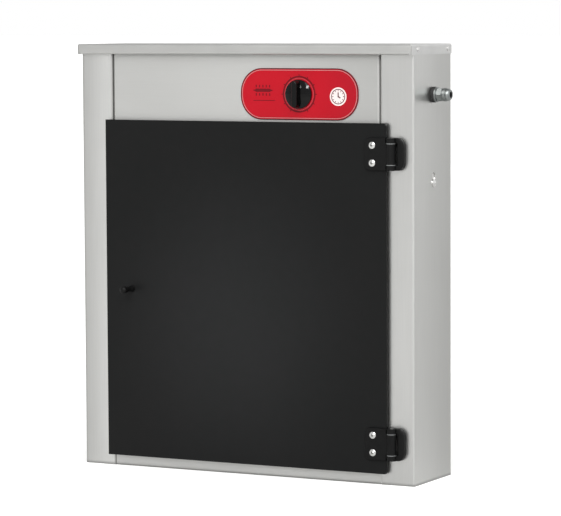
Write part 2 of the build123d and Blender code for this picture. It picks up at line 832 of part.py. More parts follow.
def door_bumpers():
    """Rubber buttons on the posts, under the door's four corners."""
    button = extrude(Circle(bumper_d / 2), door_gap - bumper_gap)
    button = chamfer(button.edges().sort_by(Axis.Z)[-1:], bumper_edge)
    return [facing(x, front, z, (0, -1, 0)) * button
            for x in ((door_x0 - opening) / 2, (door_x1 + opening) / 2)
            for z in (door_bottom + bumper_from_end, door_top - bumper_from_end)]


# Knife rack

def knife_rack():
    """Slotted channel that the blades hang through."""
    y0 = rack_y - rack_depth / 2
    y1 = rack_y + rack_depth / 2
    top = rack_z + rack_sheet
    low = rack_z - rack_skirt
    rack = folded([(y0, low), (y0, top), (y1, top), (y1, low)], 2 * rack_half, Plane.YZ.offset(-rack_half),
                  rack_sheet)
    slot = extrude(SlotOverall(slot_length, slot_width, rotation=90), through / 2, both=True)
    for i in range(slot_count):
        rack -= Pos((i - (slot_count - 1) / 2) * slot_pitch, rack_y, rack_z) * slot
    for x in (-peg_x, peg_x):
        for y in peg_rows:
            rack -= hole(x, y, rack_z, (0, 0, 1), peg_d, peg_gap)
    return rack


def rack_bracket():
    """Right bracket: a flange against the side panel, and an arm with two pegs under the rack's end."""
    arm_end = rack_half - bracket_reach
    y0 = rack_y - arm_depth / 2
    y1 = rack_y + arm_depth / 2
    base = rack_z - bracket_sheet
    bracket = folded([(inner, stud_z + bracket_above_stud), (inner, base), (arm_end, base)], arm_depth,
                     Plane.XZ.offset(-y1), bracket_sheet)
    for y in (y0, y1 - bracket_sheet):
        bracket += block(arm_end, inner - arm_skirt_gap, y, y + bracket_sheet, base - arm_skirt,
                         base + bracket_sheet)
    for y in peg_rows:
        bracket += rod(peg_x, y, base, (0, 0, 1), peg_d / 2, bracket_sheet + peg_height)
    return bracket - hole(inner, stud_y, stud_z, (1, 0, 0), stud_d, fixed_gap)


def rack_studs():
    """Shouldered studs that carry the brackets in the side panels' keyholes."""
    stud = pan_screw(right, stud_y, stud_z, (1, 0, 0), stud_d, sheet + bracket_sheet + stud_tail,
                     stud_head_d, stud_head_h)
    stud += rod(inner - bracket_sheet, stud_y, stud_z, (-1, 0, 0), stud_d * 0.75, stud_tail)
    return both_sides(stud)


# Lamp

def lamp_rod(x0, radius, length):
    """Cylinder on the lamp's axis, from a place on it out to the right."""
    return rod(x0, lamp_y, lamp_z, (1, 0, 0), radius, length)


def lamp_tube():
    """Clear tube, hollow between its closed ends."""
    half = lamp_half - cap_end
    bore_half = half - lamp_end_wall
    return lamp_rod(-half, lamp_d / 2, 2 * half) - lamp_rod(-bore_half, lamp_d / 2 - lamp_wall, 2 * bore_half)


def lamp_caps():
    """Cap on each end of the tube."""
    cap = lamp_rod(lamp_half - cap_length, cap_d / 2, cap_length)
    cap = chamfer(cap.faces().sort_by(Axis.X)[-1].edges(), cap_edge)
    return both_sides(cap - lamp_rod(lamp_half - cap_length, lamp_d / 2 + fixed_gap, cap_length - cap_end))


def lamp_pins():
    """Two pins on each cap."""
    return [piece for z in pin_rows
            for piece in both_sides(rod(lamp_half, lamp_y, z, (1, 0, 0), lamp_pin_d / 2, lamp_pin_length))]


def lampholder():
    """Holder for the lamp's right end, on the back panel, with a seat for its rotor."""
    stem = Pos((lamp_y + back_inner) / 2, 0) * Rectangle(lamp_from_back, 2 * holder_r)
    outline = stem + Pos(lamp_y, 0) * Circle(holder_r)
    body = extrude(facing(holder_x, 0, lamp_z, (1, 0, 0)) * outline, holder_thickness)
    body = chamfer(body.faces().sort_by(Axis.X)[0].edges().filter_by(GeomType.CIRCLE), holder_edge)
    body += block(holder_x, holder_x + holder_thickness + holder_foot, back_inner - holder_foot_thickness,
                  back_inner, lamp_z - holder_r, lamp_z + holder_r)
    body -= lamp_rod(holder_x, rotor_d / 2 + running_gap, rotor_length)
    return body - hole(holder_screw_x(), back_inner, lamp_z, (0, 1, 0), holder_screw_d, fixed_gap)


def holder_screw_x():
    """Middle of the holder's foot."""
    return holder_x + holder_thickness + holder_foot / 2


def lampholder_rotors():
    """Turning contacts that the lamp's pins sit in."""
    rotor = lamp_rod(holder_x, rotor_d / 2, rotor_length - rotor_end_gap)
    for z in pin_rows:
        rotor -= hole(holder_x, lamp_y, z, (1, 0, 0), lamp_pin_d, fixed_gap)
    return both_sides(rotor)


def holder_screws():
    """Screws that hold the lampholders' feet to the back panel."""
    return both_sides(cheese_screw(holder_screw_x(), back_inner - holder_foot_thickness, lamp_z, (0, -1, 0),
                                   holder_screw_d, holder_foot_thickness, holder_screw_head_d,
                                   holder_screw_head_h))


def lamp_reflector():
    """Bright trough behind the lamp."""
    half = lamp_half - reflector_end_gap
    edge_y = back_inner - reflector_wing
    outline = [(edge_y, lamp_z + reflector_half), (back_inner, lamp_z + reflector_flat_half),
               (back_inner, lamp_z - reflector_flat_half), (edge_y, lamp_z - reflector_half)]
    return folded(outline, 2 * half, Plane.YZ.offset(-half), reflector_sheet)


def lamp_conduits():
    """Rigid tubes that take the lamp's leads from the ceiling down to the lampholders."""
    z0 = lamp_z + holder_r
    length = floor_z + conduit_top - z0
    tube = rod(conduit_x, conduit_y, z0, (0, 0, 1), conduit_d / 2 - fixed_gap, length)
    return both_sides(tube - rod(conduit_x, conduit_y, z0, (0, 0, 1), conduit_d / 2 - conduit_wall, length))


def lead_grommets():
    """Rubber grommets in the ceiling, round the conduits."""
    neck_r = conduit_d / 2 + grommet_neck
    z0 = ceiling_z - grommet_lip
    ring = rod(conduit_x, conduit_y, z0, (0, 0, 1), conduit_d / 2 + grommet_flange, sheet + 2 * grommet_lip)
    ring -= rod(conduit_x, conduit_y, ceiling_z, (0, 0, 1), 2 * neck_r, sheet) \
        - rod(conduit_x, conduit_y, ceiling_z, (0, 0, 1), neck_r, sheet)
    return both_sides(ring - hole(conduit_x, conduit_y, ceiling_z, (0, 0, 1), conduit_d, 0))


# Electrical space

def ballast():
    """Choke in its steel case, with a foot at each end."""
    half = ballast_length / 2
    y0 = ballast_y - ballast_depth / 2
    y1 = ballast_y + ballast_depth / 2
    case = block(ballast_x - half, ballast_x + half, y0, y1, floor_z + ballast_lift, floor_z + ballast_height)
    case = fillet(case.edges().filter_by(Axis.X), 2)
    foot_half = half + ballast_foot
    body = case + block(ballast_x - foot_half, ballast_x + foot_half, y0, y1, floor_z,
                        floor_z + ballast_foot_thickness)
    for x in ballast_screw_places():
        body -= hole(x, ballast_y, floor_z, (0, 0, 1), ballast_screw_d, fixed_gap)
    return body


def ballast_screw_places():
    """Middle of each of the ballast's feet."""
    reach = ballast_length / 2 + ballast_screw_at
    return (ballast_x - reach, ballast_x + reach)


def ballast_screws():
    """Screws through the ballast's feet."""
    return [cheese_screw(x, ballast_y, floor_z + ballast_foot_thickness, (0, 0, 1), ballast_screw_d,
                         ballast_foot_thickness, 2 * ballast_screw_d, 0.6 * ballast_screw_d)
            for x in ballast_screw_places()]


def starter_socket():
    """Socket that the starter twists into."""
    base = Pos(starter_x, starter_y, floor_z) * extrude(RectangleRounded(socket_size, socket_size, 4), socket_height)
    return base - rod(starter_x, starter_y, floor_z + socket_floor, (0, 0, 1), starter_d / 2 + socket_gap,
                      socket_height)


def starter():
    """Starter can, twisted into its socket."""
    can = rod(starter_x, starter_y, floor_z + socket_floor, (0, 0, 1), starter_d / 2, starter_height)
    return chamfer(can.edges().sort_by(Axis.Z)[-1:], starter_edge)


def pole_places():
    """Middle of each pole of the terminal block."""
    return [terminal_x + (i - (pole_count - 1) / 2) * pole_pitch for i in range(pole_count)]


def terminal_block():
    """Strip of screw terminals for the mains lead, next to the gland."""
    half = pole_count * pole_pitch / 2
    pole_z = floor_z + strip_height
    strip = block(terminal_x - half, terminal_x + half, terminal_y - strip_depth / 2, terminal_y + strip_depth / 2,
                  floor_z, pole_z)
    for x in pole_places():
        strip += block(x - pole_width / 2, x + pole_width / 2, terminal_y - pole_depth / 2,
                       terminal_y + pole_depth / 2, pole_z, pole_z + pole_height)
        strip -= hole(x, terminal_y, pole_z + wire_hole_d / 2, (0, 1, 0), wire_hole_d, 0)
    return strip


def terminal_screws():
    """Clamping screws, two to each pole."""
    return [rod(x, terminal_y + dy, floor_z + strip_height + pole_height, (0, 0, 1), clamp_screw_d / 2,
                clamp_screw_h) for x in pole_places() for dy in (-clamp_screw_y, clamp_screw_y)]


def earth_stud():
    """Welded stud for the earth wires."""
    return rod(earth_x, earth_y, floor_z, (0, 0, 1), earth_stud_d / 2, earth_stud_length)


def earth_nuts():
    """Nuts on the earth stud."""
    return [hex_nut(earth_x, earth_y, floor_z + gap, (0, 0, 1), nut_flats, nut_height, earth_stud_d / 2 + fixed_gap)
            for gap in earth_nut_gaps]


# Cable gland

def gland_rod(x0, radius, length):
    """Cylinder on the gland's axis, from a place on it out to the right."""
    return rod(x0, gland_y, gland_z, (1, 0, 0), radius, length)


def gland_body():
    """Collar outside the side panel, with its thread going in and a neck for the cap nut."""
    bore_r = cable_d / 2 + seal_wall
    body = hex_nut(right, gland_y, gland_z, (1, 0, 0), gland_flats, gland_collar, bore_r)
    body += gland_rod(inner - gland_thread_in, gland_thread_d / 2, gland_thread_in + sheet)
    body += gland_rod(right + gland_collar, bore_r + gland_neck_wall - fixed_gap, gland_nut + gland_seat)
    return body - gland_rod(inner - gland_thread_in, bore_r, 2 * through)


def gland_locknut():
    """Nut inside the side panel."""
    return hex_nut(inner, gland_y, gland_z, (-1, 0, 0), locknut_flats, locknut_height,
                   gland_thread_d / 2 + fixed_gap)


def gland_dome_nut():
    """Cap nut that squeezes the seal: hexagon, then a dome down to the mouth."""
    r = gland_flats / 2 - gland_round_inset
    seat = gland_nut + gland_seat
    end = gland_nut + gland_dome
    dome = turned([
        Line((0, 0), (r, 0)),
        Line((r, 0), (r, seat)),
        ThreePointArc((r, seat), (gland_shoulder * r, (seat + end) / 2), (gland_mouth * r, end)),
        Line((gland_mouth * r, end), (0, end)),
        Line((0, end), (0, 0)),
    ])
    nut = hexagon(gland_flats, gland_nut) + dome
    nut -= extrude(Circle(cable_d / 2 + seal_wall + gland_neck_wall), seat)
    nut -= extrude(Circle(cable_d / 2 + seal_wall), end)
    return facing(right + gland_collar, gland_y, gland_z, (1, 0, 0)) * nut


def gland_seal():
    """Rubber sleeve that grips the mains lead."""
    x0 = right + gland_collar + gland_nut + gland_seat
    length = gland_dome - seal_short
    sleeve = gland_rod(x0, cable_d / 2 + seal_wall - fixed_gap, length)
    return sleeve - gland_rod(x0, cable_d / 2, length)


nodes = {
    "left_side_panel": left_side_panel,
    "right_side_panel": right_side_panel,
    "back_panel": back_panel,
    "bottom_pan": bottom_pan,
    "chamber_ceiling": chamber_ceiling,
    "fascia_panel": fascia_panel,
    "top_cover": top_cover,
    "cover_rivets": cover_rivets,
    "control_label": control_label,
    "timer_body": timer_body,
    "timer_screws": timer_screws,
    "timer_spindle": timer_spindle,
    "timer_knob": timer_knob,
    "hinge_frame_leaves": lambda: at_hinges(frame_leaves),
    "hinge_door_leaves": lambda: at_hinges(door_leaves),
    "hinge_pins": lambda: at_hinges(hinge_pins),
    "hinge_washers": lambda: at_hinges(hinge_washers),
    "hinge_door_screws": lambda: at_hinges(door_screws),
    "hinge_cap_nuts": lambda: at_hinges(cap_nuts),
    "hinge_frame_studs": lambda: at_hinges(frame_studs),
    "hinge_frame_nuts": lambda: at_hinges(frame_nuts),
    "door_panel": door_panel,
    "door_pull": door_pull,
    "pull_screw": pull_screw,
    "strike_plate": strike_plate,
    "magnetic_catch": magnetic_catch,
    "catch_magnet": catch_magnet,
    "reed_switch": reed_switch,
    "reed_magnet": reed_magnet,
    "door_bumpers": door_bumpers,
    "knife_rack": knife_rack,
    "rack_bracket_left": lambda: mirror(rack_bracket(), Plane.YZ),
    "rack_bracket_right": rack_bracket,
    "rack_studs": rack_studs,
    "lamp_tube": lamp_tube,
    "lamp_caps": lamp_caps,
    "lamp_pins": lamp_pins,
    "lampholder_left": lambda: mirror(lampholder(), Plane.YZ),
    "lampholder_right": lampholder,
    "lampholder_rotors": lampholder_rotors,
    "lampholder_screws": holder_screws,
    "lamp_reflector": lamp_reflector,
    "lamp_conduits": lamp_conduits,
    "lead_grommets": lead_grommets,
    "ballast": ballast,
    "ballast_screws": ballast_screws,
    "starter_socket": starter_socket,
    "starter": starter,
    "terminal_block": terminal_block,
    "terminal_screws": terminal_screws,
    "earth_stud": earth_stud,
    "earth_nuts": earth_nuts,
    "gland_body": gland_body,
    "gland_locknut": gland_locknut,
    "gland_dome_nut": gland_dome_nut,
    "gland_seal": gland_seal,
}

os.makedirs("parts", exist_ok=True)
for name, make in nodes.items():
    shape = make()
    if isinstance(shape, list):
        shape = Compound(children=shape)
    export_step(shape, f"parts/{name}.step")
    print(name, len(shape.solids()), round(shape.volume))
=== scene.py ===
import json
from math import atan2, cos, pi, radians, sin, tan

import bmesh
import bpy
from mathutils import Matrix, Vector


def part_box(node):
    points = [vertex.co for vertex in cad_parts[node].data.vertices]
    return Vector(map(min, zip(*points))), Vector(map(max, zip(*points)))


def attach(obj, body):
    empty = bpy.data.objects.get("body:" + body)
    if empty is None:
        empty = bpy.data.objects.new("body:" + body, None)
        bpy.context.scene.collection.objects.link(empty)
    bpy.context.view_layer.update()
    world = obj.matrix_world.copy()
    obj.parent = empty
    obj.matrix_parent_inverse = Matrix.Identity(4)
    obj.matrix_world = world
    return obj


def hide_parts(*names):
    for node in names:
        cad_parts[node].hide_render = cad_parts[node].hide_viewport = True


# Knife sterilizer cabinet, dressed. Every node of the frame gets its finish. Made here are the hinge screws,
# the door pull, the strips and welds at the joints of the case, the coils inside the lamp, the cable gland
# and the print on the red panel. Metres, in the frame's own axes. A piece's own sizes are in millimetres.

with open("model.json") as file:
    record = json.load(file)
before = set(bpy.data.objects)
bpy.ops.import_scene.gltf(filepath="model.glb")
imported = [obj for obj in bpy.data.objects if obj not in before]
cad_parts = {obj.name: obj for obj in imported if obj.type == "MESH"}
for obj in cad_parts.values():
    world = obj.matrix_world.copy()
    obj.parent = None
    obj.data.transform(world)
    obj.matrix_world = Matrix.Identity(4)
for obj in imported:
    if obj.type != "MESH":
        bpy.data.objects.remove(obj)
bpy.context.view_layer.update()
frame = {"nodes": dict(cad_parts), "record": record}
scene = bpy.context.scene
nodes = frame["nodes"]
mm = 0.001
print("frame loaded with", len(nodes), "nodes")


# Camera

cameraView = {
    "at": (1.9606, -3.7263, 0.6480),
    "turn": radians(27.451),       # to the left of straight ahead
    "dip": radians(4.742),         # below level
    "roll": radians(-0.288),
    "focalPixels": 2999.7,         # focal length in pixels of the picture
    "picturePixels": 561,          # width of the picture
    "sensor": 36.0,                # its width in millimetres
    "farEnd": 100,                 # metres, past the corners of the floor
}


def placeCamera(p):
    turn, dip, roll = p["turn"], p["dip"], p["roll"]
    ahead = Vector((-sin(turn) * cos(dip), cos(turn) * cos(dip), -sin(dip)))
    level = Vector((cos(turn), sin(turn), 0))
    upright = level.cross(ahead)
    right = cos(roll) * level + sin(roll) * upright
    up = cos(roll) * upright - sin(roll) * level
    lens = bpy.data.cameras.new("photographCamera")
    lens.sensor_width = p["sensor"]
    lens.lens = p["focalPixels"] / p["picturePixels"] * p["sensor"]
    lens.clip_end = p["farEnd"]
    camera = bpy.data.objects.new("photographCamera", lens)
    axes = Matrix((right, up, -ahead)).transposed().to_4x4()
    camera.matrix_world = Matrix.Translation(p["at"]) @ axes
    scene.collection.objects.link(camera)
    scene.camera = camera


placeCamera(cameraView)
print("camera placed")


# Nodes of the shaders

def hexColour(code):  # sRGB hex to linear
    channels = [int(code[i:i + 2], 16) / 255 for i in (0, 2, 4)]
    return [c / 12.92 if c <= 0.04045 else ((c + 0.055) / 1.055) ** 2.4 for c in channels] + [1.0]


def addNode(tree, kind, inputs, **settings):  # a node with its settings, values and links
    node = tree.nodes.new(kind)
    for name, value in settings.items():
        setattr(node, name, value)
    for name, value in inputs.items():
        if isinstance(value, bpy.types.NodeSocket):
            tree.links.new(value, node.inputs[name])
        else:
            node.inputs[name].default_value = value
    return node


def mixColours(tree, share, first, second):  # each a hex value or a socket
    ends = [hexColour(c) if isinstance(c, str) else c for c in (first, second)]
    return addNode(tree, "ShaderNodeMix", {0: share, 6: ends[0], 7: ends[1]}, data_type="RGBA").outputs[2]


def newTree(owner):  # an emptied node tree of a material or a world
    owner.use_nodes = True
    owner.node_tree.nodes.clear()
    return owner.node_tree


# Light: a white tent, greyer at the front left and overhead, with a window to the right that the folded
# corner shows as a line, a large key light from above, and a small softbox that the knob shows as a spot

studio = {
    "front": "DCDCDC",             # the tent at the front left
    "back": "FAFAFA",              # at the back right
    "zenith": "A8A8A8",            # and overhead
    "strength": 1.05,
    "towards": (-0.46, -0.85, 0.26),  # the front left
    "sweep": 0.9,                  # share of a ray along it that gives the whole of the front's colour
    "overhead": (0.55, 0.95),      # rise of a ray where the zenith's colour starts and is whole
    "window": (0.885, -0.46, 0.06),
    "windowGain": 0.35,            # towards the window, and as much loss away from it
    "key": {"aim": (-0.35, 0.62, -0.70), "strength": 0.65, "angle": radians(50)},
    "softbox": {
        "at": (0.58, -2.78, 1.72),
        "aim": (0.087, -0.075, 0.5325),
        "size": (0.38, 0.48),
        "power": 21,
    },
}


def lightTent(p):
    world = bpy.data.worlds.new("whiteTent")
    scene.world = world
    tree = newTree(world)
    seen = addNode(tree, "ShaderNodeBackground", {"Color": hexColour("FFFFFF")})
    ray = addNode(tree, "ShaderNodeTexCoord", {}).outputs["Generated"]
    along, across = [addNode(tree, "ShaderNodeVectorMath", {0: ray, 1: p[side]}, operation="DOT_PRODUCT")
                     .outputs["Value"] for side in ("towards", "window")]
    ahead = addNode(tree, "ShaderNodeMapRange",
                    {"Value": along, "From Min": -p["sweep"], "From Max": p["sweep"]},
                    interpolation_type="SMOOTHSTEP").outputs[0]
    squared = addNode(tree, "ShaderNodeMath", {0: across, 1: across}, operation="MULTIPLY").outputs[0]
    fourth = addNode(tree, "ShaderNodeMath", {0: squared, 1: squared}, operation="MULTIPLY").outputs[0]
    narrow = addNode(tree, "ShaderNodeMath", {0: fourth, 1: across}, operation="MULTIPLY").outputs[0]
    gain = addNode(tree, "ShaderNodeMath", {0: narrow, 1: p["windowGain"], 2: 1.0}, operation="MULTIPLY_ADD")
    strength = addNode(tree, "ShaderNodeMath", {0: gain.outputs[0], 1: p["strength"]}, operation="MULTIPLY")
    height = addNode(tree, "ShaderNodeSeparateXYZ", {0: ray}).outputs["Z"]
    start, end = p["overhead"]
    overhead = addNode(tree, "ShaderNodeMapRange", {"Value": height, "From Min": start, "From Max": end},
                       interpolation_type="SMOOTHSTEP").outputs[0]
    shade = mixColours(tree, overhead, mixColours(tree, ahead, p["back"], p["front"]), p["zenith"])
    lit = addNode(tree, "ShaderNodeBackground", {"Color": shade, "Strength": strength.outputs[0]})
    toCamera = addNode(tree, "ShaderNodeLightPath", {}).outputs["Is Camera Ray"]
    both = addNode(tree, "ShaderNodeMixShader", {0: toCamera, 1: lit.outputs[0], 2: seen.outputs[0]})
    addNode(tree, "ShaderNodeOutputWorld", {"Surface": both.outputs[0]})


def lightKey(p):
    sun = bpy.data.lights.new("key", "SUN")
    sun.energy = p["strength"] * pi
    sun.angle = p["angle"]
    lamp = bpy.data.objects.new("key", sun)
    lamp.rotation_euler = Vector(p["aim"]).to_track_quat("-Z", "Y").to_euler()
    scene.collection.objects.link(lamp)


def lightSoftbox(p):
    panel = bpy.data.lights.new("softbox", "AREA")
    panel.shape = "RECTANGLE"
    panel.size, panel.size_y = p["size"]
    panel.energy = p["power"]
    lamp = bpy.data.objects.new("softbox", panel)
    lamp.location = p["at"]
    lamp.rotation_euler = (Vector(p["aim"]) - Vector(p["at"])).to_track_quat("-Z", "Y").to_euler()
    scene.collection.objects.link(lamp)


lightTent(studio)
lightKey(studio["key"])
lightSoftbox(studio["softbox"])
scene.view_settings.view_transform = "Standard"
print("studio lit")


# Materials. Every pattern is noise with cells of a real size in millimetres along X, Y and Z: a fine grain
# and a broad cloud.

noiseLook = {
    "grain": {"detail": 3.0, "shift": 7.0},
    "cloud": {"detail": 2.0, "shift": 3.0},
    "cloudShare": 0.5,             # the rest is grain
    "spread": (0.3, 0.7),          # part of the noise that spans both colours and the roughness
}


def pattern(tree, size, p):
    place = addNode(tree, "ShaderNodeTexCoord", {}).outputs["Object"]
    scaled = addNode(tree, "ShaderNodeMapping",
                     {"Vector": place, "Location": [p["shift"]] * 3, "Scale": [1 / (s * mm) for s in size]})
    noise = addNode(tree, "ShaderNodeTexNoise",
                    {"Vector": scaled.outputs[0], "Scale": 1.0, "Detail": p["detail"]})
    return noise.outputs["Fac"]


# changes from 0 to 1 between two distances from a point, given as shares of a reach along X, Y and Z
def zoneMask(tree, p):
    place = addNode(tree, "ShaderNodeTexCoord", {}).outputs["Object"]
    middle = [a * mm for a in p["at"]]
    reach = [r * mm for r in p["reach"]]
    shares = addNode(tree, "ShaderNodeMapping", {"Vector": place, "Location": middle, "Scale": reach},
                     vector_type="TEXTURE")
    away = addNode(tree, "ShaderNodeVectorMath", {0: shares.outputs[0]}, operation="LENGTH").outputs["Value"]
    mask = addNode(tree, "ShaderNodeMapRange", {"Value": away, "From Min": p["from"], "From Max": p["to"]},
                   interpolation_type="SMOOTHSTEP")
    return mask.outputs[0]


def makeMaterial(name, p):
    material = bpy.data.materials.new(name)
    tree = newTree(material)
    grain, cloud = [pattern(tree, p[kind], noiseLook[kind]) for kind in ("grain", "cloud")]
    both = addNode(tree, "ShaderNodeMix", {0: noiseLook["cloudShare"], 2: grain, 3: cloud}).outputs[0]
    noiseRange = {"Value": both, "From Min": noiseLook["spread"][0], "From Max": noiseLook["spread"][1]}
    spread = addNode(tree, "ShaderNodeMapRange", noiseRange).outputs[0]
    colour = mixColours(tree, spread, *p["colours"])
    for zone in p.get("zones", []):
        colour = mixColours(tree, zoneMask(tree, zone), colour, mixColours(tree, spread, *zone["colours"]))
    rough = addNode(tree, "ShaderNodeMapRange",
                    {**noiseRange, "To Min": p["roughness"][0], "To Max": p["roughness"][1]})
    relief = addNode(tree, "ShaderNodeBump", {"Height": grain, "Strength": 1.0, "Distance": p["relief"] * mm})
    shader = addNode(tree, "ShaderNodeBsdfPrincipled",
                     {"Base Color": colour, "Roughness": rough.outputs[0], "Normal": relief.outputs[0],
                      "Metallic": p.get("metallic", 0.0), **p.get("shader", {})})
    addNode(tree, "ShaderNodeOutputMaterial", {"Surface": shader.outputs[0]})
    return material


far = 1e6                          # a zone's reach along an axis on which it doesn't change
# painted shade: darker along the bottom 5 mm of a sheet, where it stands on the floor
paintedFootShade = {"at": (0, 0, 0), "reach": (far, far, 5), "from": 1.0, "to": 0.0, "colours": ("8E8E8C", "989896")}

# 304 stainless sheet, satin: belt-ground lines, drawn about four times as wide as the real ones so they show
uprightLines = {"metallic": 1.0, "grain": (1.2, 1.2, 90), "cloud": (80, 80, 160), "relief": 0.002}
acrossLines = {"metallic": 1.0, "grain": (90, 1.2, 1.2), "cloud": (160, 80, 80), "relief": 0.002}

# screen ink: a thin smooth layer, half matt as the film is
screenInk = {"roughness": (0.3, 0.4), "grain": (0.5, 0.5, 0.5), "cloud": (8, 8, 8), "relief": 0.001,
             "shader": {"Specular IOR Level": 0.2}}
